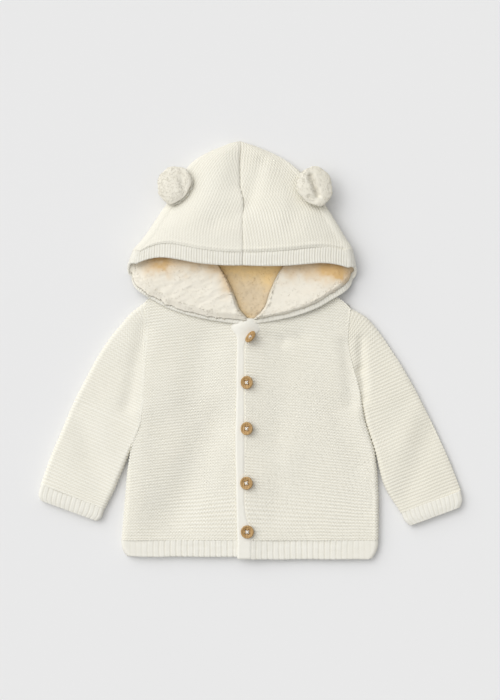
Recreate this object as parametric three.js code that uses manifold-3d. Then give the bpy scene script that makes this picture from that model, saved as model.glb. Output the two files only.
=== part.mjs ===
// A hooded baby cardigan in off-white knit, buttoned and laid flat on a table.
// Millimetres, +Z up. The garment lies on z = 0 with its front up and its hem towards -Y.
// The origin is under the middle of its outline. Left and right are as seen from above.
import * as THREE from 'three';
import Module from 'manifold-3d';
import { mergeVertices } from 'three/addons/utils/BufferGeometryUtils.js';

const wasm = await Module();
wasm.setup();

// Thickness of each cloth, and the gap kept at every seam
const garterWall = 4;
const ribWall = 3.2;
const plushWall = 4;
const seam = 0.3;
const halfSeam = seam / 2;

// Colours and finishes
const finishes = {
  knit: { color: 0xe6e2d6, roughness: 0.92, metalness: 0 },
  rib: { color: 0xe0dccf, roughness: 0.92, metalness: 0 },
  plush: { color: 0xe8e0cd, roughness: 0.97, metalness: 0 },
  wood: { color: 0xb99565, roughness: 0.55, metalness: 0 },
};

const cardigan = new THREE.Group();
cardigan.name = 'baby_cardigan';

const lerp = (a, b, t) => a + (b - a) * t;
const clamp01 = (t) => Math.min(Math.max(t, 0), 1);
const smooth = (t) => clamp01(t) ** 2 * (3 - 2 * clamp01(t));
const steps = (count) => Array.from({ length: count + 1 }, (_, i) => i / count);

// A value of every column at a fractional row of a table
function tableAt(table, at) {
  const i = Math.min(Math.floor(at), table.length - 2);
  const row = {};
  for (const key of Object.keys(table[i])) {
    row[key] = lerp(table[i][key], table[i + 1][key], at - i);
  }
  return row;
}

function addMesh(name, geometry, finish) {
  geometry.computeVertexNormals();
  const mesh = new THREE.Mesh(geometry, new THREE.MeshStandardMaterial(finishes[finish]));
  mesh.name = name;
  cardigan.add(mesh);
  return mesh;
}

function signedVolume(points, faces) {
  let volume = 0;
  for (const [a, b, c] of faces) {
    const [p, q, r] = [points[a], points[b], points[c]];
    volume += p[0] * (q[1] * r[2] - q[2] * r[1])
      + p[1] * (q[2] * r[0] - q[0] * r[2])
      + p[2] * (q[0] * r[1] - q[1] * r[0]);
  }
  return volume / 6;
}

function closedGeometry(points, faces) {
  const outward = signedVolume(points, faces) > 0 ? faces : faces.map(([a, b, c]) => [a, c, b]);
  const geometry = new THREE.BufferGeometry();
  geometry.setAttribute('position', new THREE.Float32BufferAttribute(points.flat(), 3));
  geometry.setIndex(outward.flat());
  return geometry;
}

// A closed wall between an outer and an inner grid of points; a round one joins its last
// column to its first, and the open edges of both grids are closed by narrow rims
function wallGeometry(outer, inner, round = false) {
  const rows = outer.length;
  const cols = outer[0].length;
  const points = [...outer.flat(), ...inner.flat()];
  const faces = [];
  const outerAt = (r, c) => r * cols + (c % cols);
  const innerAt = (r, c) => rows * cols + outerAt(r, c);
  const quad = (a, b, c, d) => faces.push([a, b, c], [a, c, d]);
  const spans = round ? cols : cols - 1;
  for (let r = 0; r < rows - 1; r += 1) {
    for (let c = 0; c < spans; c += 1) {
      quad(outerAt(r, c), outerAt(r, c + 1), outerAt(r + 1, c + 1), outerAt(r + 1, c));
      quad(innerAt(r, c), innerAt(r + 1, c), innerAt(r + 1, c + 1), innerAt(r, c + 1));
    }
  }
  for (let c = 0; c < spans; c += 1) {
    quad(outerAt(0, c), innerAt(0, c), innerAt(0, c + 1), outerAt(0, c + 1));
    const last = rows - 1;
    quad(outerAt(last, c), outerAt(last, c + 1), innerAt(last, c + 1), innerAt(last, c));
  }
  if (!round) {
    for (let r = 0; r < rows - 1; r += 1) {
      quad(outerAt(r, 0), outerAt(r + 1, 0), innerAt(r + 1, 0), innerAt(r, 0));
      const last = cols - 1;
      quad(outerAt(r, last), innerAt(r, last), innerAt(r + 1, last), outerAt(r + 1, last));
    }
  }
  return closedGeometry(points, faces);
}

// Soft troughs and ridges in the top of the cloth: a bell of the given depth and width
// about the line from one end to the other
const creases = [
  { x0: 124, y0: 12, x1: 128, y1: -40, width: 5, depth: 1.9 },
  { x0: -124, y0: -12, x1: -150, y1: -58, width: 9, depth: 1.3 },
  { x0: 12, y0: 8, x1: 62, y1: 17, width: 8, depth: 1.2 },
  { x0: -60, y0: -70, x1: -30, y1: -180, width: 22, depth: 0.7 },
  { x0: 70, y0: -60, x1: 95, y1: -175, width: 24, depth: 0.8 },
  { x0: 205, y0: -95, x1: 165, y1: -160, width: 14, depth: 0.8 },
  { x0: -200, y0: -80, x1: -170, y1: -150, width: 14, depth: 0.7 },
];

function creaseDepth(x, y) {
  let depth = 0;
  for (const { x0, y0, x1, y1, width, depth: deep } of creases) {
    const [dx, dy] = [x1 - x0, y1 - y0];
    const along = clamp01(((x - x0) * dx + (y - y0) * dy) / (dx * dx + dy * dy));
    const away = Math.hypot(x - x0 - along * dx, y - y0 - along * dy);
    depth += deep * Math.exp(-((away / width) ** 2));
  }
  return depth;
}

// Armholes run from the underarm up to the shoulder tip, bowed towards the body
const armholes = {
  left: { tipX: -116, tipY: 56, underX: -121.2, underY: -48, bow: 0 },
  right: { tipX: 111.6, tipY: 47, underX: 122.5, underY: -48, bow: -5 },
};

// A point on an armhole: up = 0 at the underarm and 1 at the shoulder tip
function armholePoint(side, up) {
  const { tipX, tipY, underX, underY, bow } = armholes[side];
  return [lerp(underX, tipX, up) + bow * Math.sin(Math.PI * up), lerp(underY, tipY, up)];
}

// Body rows from the hem line up to the underarm: side edges and heights of the two fronts
const bodyRows = [
  { y: -213.4, leftX: -144.6, rightX: 143.6, sideH: 9.4, midH: 9.2, overH: 12.4 },
  { y: -190, leftX: -142.6, rightX: 143.9, sideH: 9.6, midH: 9.4, overH: 12.5 },
  { y: -165, leftX: -140.6, rightX: 143.9, sideH: 9.8, midH: 9.4, overH: 12.6 },
  { y: -137, leftX: -137.9, rightX: 142.3, sideH: 10, midH: 9.4, overH: 12.6 },
  { y: -113, leftX: -133.7, rightX: 139.4, sideH: 10, midH: 9.4, overH: 12.6 },
  { y: -79, leftX: -124.1, rightX: 128, sideH: 10, midH: 9.4, overH: 12.6 },
];

// Yoke rows from the underarm to the shoulder seam: place up the armhole, neck edges
const yokeRows = [
  { up: 0, leftNeckX: -11, rightNeckX: 3.5, neckY: -44, sideH: 9.8, midH: 9.4, overH: 12.6 },
  { up: 0.33, leftNeckX: -11, rightNeckX: 3.5, neckY: -6, sideH: 9.6, midH: 9.4, overH: 12.4 },
  { up: 0.6, leftNeckX: -11.5, rightNeckX: 4.2, neckY: 29, sideH: 9.4, midH: 9.4, overH: 11.6 },
  { up: 0.8, leftNeckX: -22, rightNeckX: 22, neckY: 55, sideH: 9.2, midH: 9.2, overH: 9.6 },
  { up: 0.92, leftNeckX: -30, rightNeckX: 31, neckY: 79, sideH: 8.8, midH: 8.8, overH: 8.8 },
  { up: 1, leftNeckX: -43, rightNeckX: 44, neckY: 103, sideH: 8.5, midH: 8.5, overH: 8.5 },
];

// Where the fronts end at the middle: the left one under the button band, the right one at it
const bandLeft = -14.6;
const bandRight = 3.2;
const frontEdges = { left: -11, right: 3.5 };

// All rows of one half of the body; fold is 1 at a folded side and 0 at an armhole
function halfBodyRows(side) {
  const sideKey = `${side}X`;
  const lower = bodyRows.map((row) => ({
    edge: [row[sideKey], row.y],
    mid: [frontEdges[side], row.y],
    fold: 1,
    sideH: row.sideH,
    midH: side === 'left' ? row.midH : row.overH,
  }));
  const upper = yokeRows.map((row) => ({
    edge: armholePoint(side, row.up),
    mid: [row[`${side}NeckX`], row.neckY],
    fold: row.up === 0 ? 0.5 : 0,
    sideH: row.sideH,
    midH: side === 'left' ? row.midH : row.overH,
  }));
  return [...lower, ...upper];
}

const foldSteps = 4;

// The turned edge of a panel, from its side seam to flat: distance in from the edge and
// height off the mid plane. A fold is a quarter circle, an armhole edge a plain rim.
function edgeProfile(height, thickness, fold) {
  const radius = height / 2;
  const innerRadius = radius - thickness;
  return steps(foldSteps).map((t) => {
    const angle = (t * Math.PI) / 2;
    const rise = (r) => halfSeam + (r - halfSeam) * Math.sin(angle);
    const folded = {
      out: [radius * (1 - Math.cos(angle)), rise(radius)],
      in: [radius - innerRadius * Math.cos(angle), rise(innerRadius)],
    };
    const plain = {
      out: [0, radius - (thickness / 2) * (1 - t)],
      in: [t, innerRadius],
    };
    return {
      out: [lerp(plain.out[0], folded.out[0], fold), lerp(plain.out[1], folded.out[1], fold)],
      in: [lerp(plain.in[0], folded.in[0], fold), lerp(plain.in[1], folded.in[1], fold)],
    };
  });
}

const frontSpans = 9;

// A front: its turned side edge, then straight across to its middle edge
function frontGeometry(side) {
  const outer = [];
  const inner = [];
  for (const row of halfBodyRows(side)) {
    const [ex, ey] = row.edge;
    const [mx, my] = row.mid;
    const length = Math.hypot(mx - ex, my - ey);
    const at = (d) => [lerp(ex, mx, d / length), lerp(ey, my, d / length)];
    const profile = edgeProfile(row.sideH, garterWall, row.fold);
    const turned = profile[foldSteps].out[0];
    const outerRow = profile.map(({ out }) => [...at(out[0]), row.sideH / 2 + out[1]]);
    const innerRow = profile.map((p) => [...at(p.in[0]), row.sideH / 2 + p.in[1]]);
    const start = Math.max(turned, 1);
    for (const t of steps(frontSpans).slice(1)) {
      const [x, y] = at(lerp(start, length, t));
      const height = lerp(row.sideH, row.midH, t ** 3);
      outerRow.push([x, y, height - creaseDepth(x, y)]);
      innerRow.push([x, y, height - garterWall]);
    }
    outer.push(outerRow);
    inner.push(innerRow);
  }
  return wallGeometry(outer, inner);
}

// The back: turned up at both sides, flat on the table, hollowed at the neck
const backSpans = 8;
const backNeckDrop = 0.33;
const backShoulderDrop = 1.5;

function backGeometry() {
  const leftRows = halfBodyRows('left');
  const rightRows = halfBodyRows('right');
  const outer = [];
  const inner = [];
  leftRows.forEach((left, i) => {
    const right = rightRows[i];
    const rise = left.mid[1] - (left.edge[1] + right.edge[1]) / 2;
    const neckShare = Math.max(i - (leftRows.length - 3), 0) / 2;
    const corner = (left.mid[0] - left.edge[0]) / (right.edge[0] - left.edge[0]);
    const across = (d) => {
      const u = d / (right.edge[0] - left.edge[0]);
      const nearest = Math.min(u, 1 - u);
      const slope = Math.min(nearest / Math.min(corner, 0.36), 1);
      const hollow = clamp01((nearest - corner) / (0.5 - corner));
      const dip = neckShare * backNeckDrop * hollow;
      const lift = i < bodyRows.length ? 0 : (rise - backShoulderDrop) * slope * (1 - dip);
      return [left.edge[0] + d, lerp(left.edge[1], right.edge[1], u) + lift];
    };
    const width = right.edge[0] - left.edge[0];
    const leftEdge = edgeProfile(left.sideH, garterWall, left.fold);
    const rightEdge = edgeProfile(right.sideH, garterWall, right.fold);
    const mid = left.sideH / 2;
    const outerRow = leftEdge.map(({ out }) => [...across(out[0]), mid - out[1]]);
    const innerRow = leftEdge.map((p) => [...across(p.in[0]), mid - p.in[1]]);
    const start = Math.max(leftEdge[foldSteps].out[0], 1);
    for (const t of steps(backSpans).slice(1, -1)) {
      const place = across(lerp(start, width - start, t));
      outerRow.push([...place, 0]);
      innerRow.push([...place, garterWall]);
    }
    for (const p of [...rightEdge].reverse()) {
      outerRow.push([...across(width - p.out[0]), mid - p.out[1]]);
      innerRow.push([...across(width - p.in[0]), mid - p.in[1]]);
    }
    outer.push(outerRow);
    inner.push(innerRow);
  });
  return wallGeometry(outer, inner);
}

addMesh('back_panel', backGeometry(), 'knit');
addMesh('front_left', frontGeometry('left'), 'knit');
addMesh('front_right', frontGeometry('right'), 'knit');

// A flattened ring of cloth between an outer and an inner point of its plan line: top with
// optional ribs, a half round at each end, and a plain bottom on the table. The number of
// points is the same for every inset.
const ringTop = 8;
const ringBottom = 4;
const ringArc = 4;

function flatRing(row, inset, topFractions = steps(ringTop)) {
  const { outX, outY, inX, inY, height, bow = 0, ribRise = 0, ribs = 0 } = row;
  const radius = height / 2;
  const [dx, dy] = [inX - outX, inY - outY];
  const length = Math.hypot(dx, dy);
  const point = (d, z) => {
    const u = d / length;
    return [outX + dx * u + bow * Math.sin(Math.PI * clamp01(u)), outY + dy * u, z];
  };
  const lay = inset > 0 ? 0 : 1;
  const ring = [];
  for (const t of topFractions) {
    const d = lerp(radius, length - radius, t);
    const [x, y] = point(d, 0);
    const wave = ribs > 0 ? ribRise * (0.5 - 0.5 * Math.cos(2 * Math.PI * ribs * t)) : 0;
    ring.push([x, y, height - inset - lay * (creaseDepth(x, y) + ribRise - wave)]);
  }
  const arc = (centre, from) => {
    for (const t of steps(ringArc).slice(1, -1)) {
      const angle = from - t * Math.PI;
      const r = radius - inset;
      ring.push(point(centre + r * Math.cos(angle), radius + r * Math.sin(angle)));
    }
  };
  arc(length - radius, Math.PI / 2);
  for (const t of steps(ringBottom)) {
    ring.push(point(lerp(length - radius, radius, t), inset));
  }
  arc(radius, -Math.PI / 2);
  return ring;
}

// Sleeve rows from the armhole down to the cuff line: outer and inner edge, height
const sleeveRows = {
  left: [
    { outX: -116.3, outY: 56, inX: -121.5, inY: -48, height: 8.5, bow: 0 },
    { outX: -134, outY: 41.5, inX: -123.4, inY: -62, height: 9.4, bow: 0 },
    { outX: -155, outY: 17.1, inX: -125.9, inY: -78, height: 9.8, bow: 0 },
    { outX: -172.1, outY: -8.6, inX: -130.8, inY: -96, height: 10, bow: 0 },
    { outX: -189.4, outY: -41.2, inX: -136.6, inY: -116, height: 10, bow: 0 },
    { outX: -203.2, outY: -68.7, inX: -143.4, inY: -136, height: 10, bow: 0 },
    { outX: -216.8, outY: -103, inX: -150.4, inY: -153.5, height: 10, bow: 0 },
    { outX: -228.9, outY: -130.5, inX: -157.2, inY: -168.5, height: 9.8, bow: 0 },
    { outX: -235.2, outY: -151, inX: -163.4, inY: -178.4, height: 9.4, bow: 0 },
  ],
  right: [
    { outX: 112, outY: 47, inX: 122.9, inY: -48, height: 8.5, bow: -4.2 },
    { outX: 128, outY: 38, inX: 127.4, inY: -61, height: 9.4, bow: -3 },
    { outX: 148, outY: 15.5, inX: 132.5, inY: -77, height: 9.8, bow: -1 },
    { outX: 166, outY: -11.5, inX: 138, inY: -94, height: 10, bow: 0 },
    { outX: 183.5, outY: -42, inX: 143.2, inY: -113, height: 10, bow: 0 },
    { outX: 199, outY: -72.5, inX: 146.4, inY: -133, height: 10, bow: 0 },
    { outX: 213, outY: -102, inX: 150.4, inY: -152, height: 10, bow: 0 },
    { outX: 226, outY: -131, inX: 158, inY: -168, height: 9.8, bow: 0 },
    { outX: 236.3, outY: -157.8, inX: 169, inY: -183.2, height: 9.4, bow: 0 },
  ],
};

// Cuff rows from the sleeve line to the free edge
const cuffRows = {
  left: [
    { outX: -235.9, outY: -151.4, inX: -163.6, inY: -178.9, height: 9 },
    { outX: -238.1, outY: -162, inX: -166.4, inY: -187.5, height: 9.4 },
    { outX: -236, outY: -168.4, inX: -171, inY: -192.2, height: 8.4 },
  ],
  right: [
    { outX: 236.7, outY: -158.3, inX: 169.3, inY: -183.7, height: 9 },
    { outX: 238.1, outY: -168, inX: 172.6, inY: -191.6, height: 9.4 },
    { outX: 236.2, outY: -176, inX: 178.6, inY: -197.2, height: 8.4 },
  ],
};
const cuffRibs = 13;
const ribRise = 0.8;
const ribPoints = 2;

for (const side of ['left', 'right']) {
  const sleeve = sleeveRows[side];
  const outer = sleeve.map((row) => flatRing(row, 0));
  const inner = sleeve.map((row) => flatRing(row, garterWall));
  addMesh(`sleeve_${side}`, wallGeometry(outer, inner, true), 'knit');

  const across = steps(cuffRibs * ribPoints);
  const cuff = cuffRows[side].map((row) => ({ ...row, ribRise, ribs: cuffRibs }));
  const cuffOuter = cuff.map((row) => flatRing(row, 0, across));
  const cuffInner = cuff.map((row) => flatRing(row, ribWall, across));
  addMesh(`cuff_${side}`, wallGeometry(cuffOuter, cuffInner, true), 'rib');
}

// Ribbed hem, in one piece for the back and one for each front
const hemTopY = -213.7;
const hemBottomY = { left: -230.4, right: -233.2 };
const hemCorner = 7;
const hemRibPitch = 6.4;
const hemHeight = 8.6;
const hemOverHeight = 12;

function hemFrontGeometry(side) {
  const sign = side === 'left' ? -1 : 1;
  const edgeX = side === 'left' ? -144.8 : 143.6;
  const midX = frontEdges[side];
  const midH = side === 'left' ? hemHeight : hemOverHeight;
  const width = Math.abs(midX - edgeX);
  const ribs = Math.round(width / hemRibPitch);
  const outer = [];
  const inner = [];
  for (const drop of [0, 0.6, 1]) {
    const cut = hemCorner * drop ** 3;
    const profile = edgeProfile(hemHeight, ribWall, 1);
    const y = lerp(hemTopY, hemBottomY[side], drop);
    const at = (d) => edgeX - sign * (d + cut);
    const outerRow = profile.map(({ out }) => [at(out[0]), y, hemHeight / 2 + out[1]]);
    const innerRow = profile.map((p) => [at(p.in[0]), y, hemHeight / 2 + p.in[1]]);
    const start = hemHeight / 2;
    for (const t of steps(ribs * ribPoints).slice(1)) {
      const x = at(lerp(start, width - cut, t));
      const height = lerp(hemHeight, midH, t ** 8);
      const wave = ribRise * (0.5 + 0.5 * Math.cos(2 * Math.PI * ribs * t));
      outerRow.push([x, y, height - wave]);
      innerRow.push([x, y, height - ribWall]);
    }
    outerRow[foldSteps][2] -= ribRise;
    outer.push(outerRow);
    inner.push(innerRow);
  }
  return wallGeometry(outer, inner);
}

function hemBackGeometry() {
  const outer = [];
  const inner = [];
  for (const drop of [0, 0.6, 1]) {
    const cut = hemCorner * drop ** 3;
    const profile = edgeProfile(hemHeight, ribWall, 1);
    const y = lerp(hemTopY, (hemBottomY.left + hemBottomY.right) / 2, drop);
    const [left, right] = [-144.8 + cut, 143.6 - cut];
    const row = (key, flatZ) => [
      ...profile.map((p) => [left + p[key][0], y, hemHeight / 2 - p[key][1]]),
      ...[0.2, 0.4, 0.6, 0.8].map((t) => [lerp(left, right, t), y, flatZ]),
      ...[...profile].reverse().map((p) => [right - p[key][0], y, hemHeight / 2 - p[key][1]]),
    ];
    outer.push(row('out', 0));
    inner.push(row('in', ribWall));
  }
  return wallGeometry(outer, inner);
}

addMesh('hem_back', hemBackGeometry(), 'rib');
addMesh('hem_left', hemFrontGeometry('left'), 'rib');
addMesh('hem_right', hemFrontGeometry('right'), 'rib');

// Button bands: the under one joins the left front, the top one laps over it
const bandTopY = 28.6;
const bandBow = 2;
const underBandZ = 5.6;
const topBandZ = 9.7;
const bandRows = 12;
const bandColumns = 4;

function bandGeometry({ left, right, bottom, top, z, thickness, bow }) {
  const grid = (lift, inset) => steps(bandRows).map((v) => {
    const y = lerp(bottom + inset, top - inset, v);
    const swing = bow * Math.sin(Math.PI * clamp01((y - bottom) / (top - bottom))) ** 2;
    return steps(bandColumns).map((u) => {
      const x = lerp(left - swing + inset, right - inset, u);
      return [x, y, z + lift];
    });
  });
  return wallGeometry(grid(thickness, 0.6), grid(0, 0));
}

const underBand = {
  left: -10.7,
  right: bandRight,
  bottom: hemBottomY.left,
  top: bandTopY - 3,
  z: underBandZ,
  thickness: ribWall,
  bow: 0,
};
const topBand = {
  left: bandLeft,
  right: bandRight,
  bottom: -234.1,
  top: bandTopY,
  z: topBandZ,
  thickness: ribWall,
  bow: bandBow,
};
addMesh('button_band_under', bandGeometry(underBand), 'rib');
addMesh('button_band', bandGeometry(topBand), 'rib');

// Hood rows from the mouth's free edge (0) over the knit's edge (1) up to the crown. Each
// row starts at the top seam, runs out to the side fold and back under to the neck or to
// the back seam. fold, turn and end are the plan points of the side fold, of the lower
// path's bend and of its end; topZ is the height at the top seam and puff what it swells;
// foldZ is the underside at the fold and foldH the cloth's height there; restZ and endZ are
// the underside on the body and at the end, rise the share of the path that climbs.
const hoodSeamX = -8.3;
const hoodRows = {
  left: [
    {
      topY: 95.5, bend: 8.5, foldX: -136, foldY: 94, turnX: -128, turnY: 42, endX: -6, endY: 30,
      topZ: 31, puff: 1, foldZ: 5, foldH: 19.6, restZ: 10.4, rise: 0.3, endZ: 13.4,
    },
    {
      topY: 109.2, bend: 9.5, foldX: -131, foldY: 109, turnX: -118, turnY: 58, endX: -18.5,
      endY: 47, topZ: 31.5, puff: 1, foldZ: 5, foldH: 19.6, restZ: 10.4, rise: 0.35, endZ: 12.2,
    },
    {
      topY: 122, bend: 7, foldX: -121, foldY: 122.5, turnX: -98, turnY: 84, endX: -25, endY: 68,
      topZ: 31, puff: 1.5, foldZ: 4, foldH: 19.8, restZ: 10.2, rise: 0.5, endZ: 10.6,
    },
    {
      topY: 137, bend: 5, foldX: -112, foldY: 136, turnX: -82, turnY: 108, endX: -34, endY: 89,
      topZ: 29.5, puff: 2, foldZ: 3, foldH: 19.8, restZ: 10, rise: 0.8, endZ: 10,
    },
    {
      topY: 152, bend: 3, foldX: -101, foldY: 153, turnX: -72, turnY: 128, endX: -42.5, endY: 103,
      topZ: 27, puff: 2.5, foldZ: 1, foldH: 19.4, restZ: 9.6, rise: 1, endZ: 9.6,
    },
    {
      topY: 167, bend: 2, foldX: -92, foldY: 166, turnX: -60, turnY: 132, endX: -33, endY: 98.9,
      topZ: 23.5, puff: 3.5, foldZ: 0, foldH: 17, restZ: 0, rise: 1, endZ: 0,
    },
    {
      topY: 182, bend: 0, foldX: -84.5, foldY: 180.5, turnX: -50, turnY: 140, endX: -8.3,
      endY: 88, topZ: 19, puff: 4.5, foldZ: 0, foldH: 15.5, restZ: 0, rise: 1, endZ: 0,
    },
    {
      topY: 197, bend: 0, foldX: -76, foldY: 197, turnX: -45, turnY: 160, endX: -8.3, endY: 125,
      topZ: 16, puff: 4.5, foldZ: 0, foldH: 14, restZ: 0, rise: 1, endZ: 0,
    },
    {
      topY: 211, bend: 0, foldX: -63.5, foldY: 211.8, turnX: -36, turnY: 190, endX: -8.3,
      endY: 165, topZ: 14, puff: 3.5, foldZ: 0, foldH: 12.5, restZ: 0, rise: 1, endZ: 0,
    },
    {
      topY: 223, bend: 0, foldX: -45, foldY: 222.6, turnX: -26, turnY: 212, endX: -8.3, endY: 200,
      topZ: 12.5, puff: 2, foldZ: 0, foldH: 11, restZ: 0, rise: 1, endZ: 0,
    },
    {
      topY: 234, bend: 0, foldX: -21, foldY: 231.7, turnX: -14, turnY: 232.6, endX: -8.3,
      endY: 233.6, topZ: 8.9, puff: 0, foldZ: 0, foldH: 8.8, restZ: 0, rise: 1, endZ: 0,
    },
  ],
  right: [
    {
      topY: 95.5, bend: 5, foldX: 117.5, foldY: 91, turnX: 104, turnY: 43, endX: 3, endY: 30,
      topZ: 31, puff: 1, foldZ: 5, foldH: 19.6, restZ: 10.4, rise: 0.3, endZ: 13.4,
    },
    {
      topY: 109.2, bend: 4.5, foldX: 113.5, foldY: 111, turnX: 96, turnY: 62, endX: 19.5,
      endY: 47, topZ: 31.5, puff: 1, foldZ: 5, foldH: 19.6, restZ: 10.4, rise: 0.35, endZ: 12.2,
    },
    {
      topY: 122, bend: 4, foldX: 106, foldY: 125, turnX: 84, turnY: 86, endX: 26, endY: 68,
      topZ: 31, puff: 1.5, foldZ: 4, foldH: 19.8, restZ: 10.2, rise: 0.5, endZ: 10.6,
    },
    {
      topY: 137, bend: 3, foldX: 98.5, foldY: 138.5, turnX: 72, turnY: 110, endX: 34, endY: 88,
      topZ: 29.5, puff: 2, foldZ: 3, foldH: 19.8, restZ: 10, rise: 0.8, endZ: 10,
    },
    {
      topY: 152, bend: 2, foldX: 88.5, foldY: 155, turnX: 64, turnY: 130, endX: 43.5, endY: 103,
      topZ: 27, puff: 2.5, foldZ: 1, foldH: 19.4, restZ: 9.6, rise: 1, endZ: 9.6,
    },
    {
      topY: 167, bend: 1, foldX: 80, foldY: 167.5, turnX: 54, turnY: 134, endX: 34, endY: 98.9,
      topZ: 23.5, puff: 3.5, foldZ: 0, foldH: 17, restZ: 0, rise: 1, endZ: 0,
    },
    {
      topY: 182, bend: 0, foldX: 71, foldY: 180, turnX: 44, turnY: 142, endX: -8.3, endY: 88,
      topZ: 19, puff: 4, foldZ: 0, foldH: 15.5, restZ: 0, rise: 1, endZ: 0,
    },
    {
      topY: 197, bend: 0, foldX: 61, foldY: 193.5, turnX: 36, turnY: 160, endX: -8.3, endY: 125,
      topZ: 16, puff: 4, foldZ: 0, foldH: 14, restZ: 0, rise: 1, endZ: 0,
    },
    {
      topY: 211, bend: 0, foldX: 50, foldY: 204.8, turnX: 26, turnY: 188, endX: -8.3, endY: 165,
      topZ: 14, puff: 3, foldZ: 0, foldH: 12.5, restZ: 0, rise: 1, endZ: 0,
    },
    {
      topY: 223, bend: 0, foldX: 33, foldY: 216.6, turnX: 14, turnY: 210, endX: -8.3, endY: 200,
      topZ: 12.5, puff: 2, foldZ: 0, foldH: 11, restZ: 0, rise: 1, endZ: 0,
    },
    {
      topY: 234, bend: 0, foldX: 8, foldY: 228.4, turnX: 0, turnY: 231, endX: -8.3, endY: 233.6,
      topZ: 8.9, puff: 0, foldZ: 0, foldH: 8.8, restZ: 0, rise: 1, endZ: 0,
    },
  ],
};

// One row of the hood at a depth below its outer face, as points along its section
function hoodSection(side, at, depth, { tops, arcs, unders }) {
  const row = tableAt(hoodRows[side], at);
  const sign = side === 'left' ? -1 : 1;
  const top = [hoodSeamX + sign * halfSeam, row.topY];
  const end = [side === 'left' ? Math.min(row.endX, hoodSeamX - halfSeam)
    : Math.max(row.endX, hoodSeamX + halfSeam), row.endY];
  const inward = [(top[0] + row.turnX) / 2 - row.foldX, (top[1] + row.turnY) / 2 - row.foldY];
  const reach = Math.hypot(...inward);
  const radius = row.foldH / 2;
  const out = [-inward[0] / reach, -inward[1] / reach];
  const hinge = [row.foldX - out[0] * radius, row.foldY - out[1] * radius];
  const points = [];
  for (const a of tops) {
    const lift = row.bend * Math.sin(Math.PI * a * a);
    const drop = row.topZ - (row.topZ - row.foldZ - row.foldH) * a ** 3;
    const swell = row.puff * Math.sin(Math.PI * a);
    const [x, y] = [lerp(top[0], hinge[0], a), lerp(top[1], hinge[1], a) + lift];
    points.push([x, y, drop + swell - depth]);
  }
  const mid = row.foldZ + radius;
  for (const t of arcs) {
    const angle = (0.5 - t) * Math.PI;
    const r = radius - depth;
    const away = r * Math.cos(angle);
    points.push([hinge[0] + out[0] * away, hinge[1] + out[1] * away, mid + r * Math.sin(angle)]);
  }
  for (const a of unders) {
    const bezier = (p, q, r) => (1 - a) ** 2 * p + 2 * a * (1 - a) * q + a * a * r;
    const climb = (row.restZ - row.foldZ) * smooth(a / row.rise);
    const last = (row.endZ - row.restZ) * smooth((a - 0.6) / 0.4);
    const z = row.foldZ + climb + last + depth;
    const x = bezier(hinge[0], row.turnX, end[0]);
    const y = bezier(hinge[1], row.turnY, end[1]);
    points.push([x, y, z]);
  }
  return points;
}

const arcShares = [1 / 6, 2 / 6, 3 / 6, 4 / 6, 5 / 6];
const hoodShape = { tops: steps(9), arcs: arcShares, unders: steps(8) };
const crownRow = hoodRows.left.length - 1;

for (const side of ['left', 'right']) {
  const rows = Array.from({ length: crownRow }, (_, i) => i + 1);
  const outer = rows.map((at) => hoodSection(side, at, 0, hoodShape));
  const inner = rows.map((at) => hoodSection(side, at, garterWall, hoodShape));
  addMesh(`hood_${side}`, wallGeometry(outer, inner), 'knit');
}

// Ribbed edging of the hood's mouth, its ribs across the strip
const mouthRibs = { top: 22, arc: 3, under: 24 };
const mouthSpan = [0, 0.955];

for (const side of ['left', 'right']) {
  const shape = {
    tops: steps(mouthRibs.top * ribPoints),
    arcs: steps(mouthRibs.arc * ribPoints).slice(1, -1),
    unders: steps(mouthRibs.under * ribPoints),
  };
  const phases = [shape.tops, shape.arcs, shape.unders].map((shares, i) => {
    const count = [mouthRibs.top, mouthRibs.arc, mouthRibs.under][i];
    return shares.map((t) => 0.5 - 0.5 * Math.cos(2 * Math.PI * count * t));
  }).flat();
  const lastTop = shape.tops.length + shape.arcs.length;
  const ribbed = (at) => {
    const face = hoodSection(side, at, 0, shape);
    const sunk = hoodSection(side, at, ribRise, shape);
    return face.map((point, i) => {
      const t = i < lastTop ? 1 - phases[i] : 1 - phases[i] * 0.5;
      return point.map((value, k) => lerp(value, sunk[i][k], t));
    });
  };
  const outer = mouthSpan.map(ribbed);
  const inner = mouthSpan.map((at) => hoodSection(side, at, ribWall + ribRise, shape));
  addMesh(`hood_rib_${side}`, wallGeometry(outer, inner), 'rib');
}

// Plush lining of the folded out hood sides and of the nape
const liningRows = [0.36, 1, 2, 3, 3.7];
const liningDepth = garterWall + 2 * seam;
const liningShape = { tops: steps(7), arcs: arcShares, unders: steps(8) };

for (const side of ['left', 'right']) {
  const skin = (depth) => liningRows.map((at) => hoodSection(side, at, depth, liningShape));
  const geometry = wallGeometry(skin(liningDepth), skin(liningDepth + plushWall));
  addMesh(`lining_${side}`, geometry, 'plush');
}

const napeRows = [
  { y: 35, left: -7, right: 0.8 },
  { y: 46, left: -14.5, right: 12 },
  { y: 57, left: -20.5, right: 20 },
  { y: 70, left: -24.5, right: 25 },
  { y: 84, left: -29, right: 30 },
  { y: 96, left: -31, right: 32 },
  { y: 120, left: -31, right: 32 },
  { y: 142, left: -29, right: 28 },
];
const napeColumns = 6;
const napeZ = garterWall + seam;
const napeGrid = (z, inset) => napeRows.map(({ y, left, right }) => (
  steps(napeColumns).map((u) => [lerp(left + inset, right - inset, u), y, z])
));
addMesh('lining_back', wallGeometry(napeGrid(napeZ + plushWall, 1.5), napeGrid(napeZ, 0)), 'plush');

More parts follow.
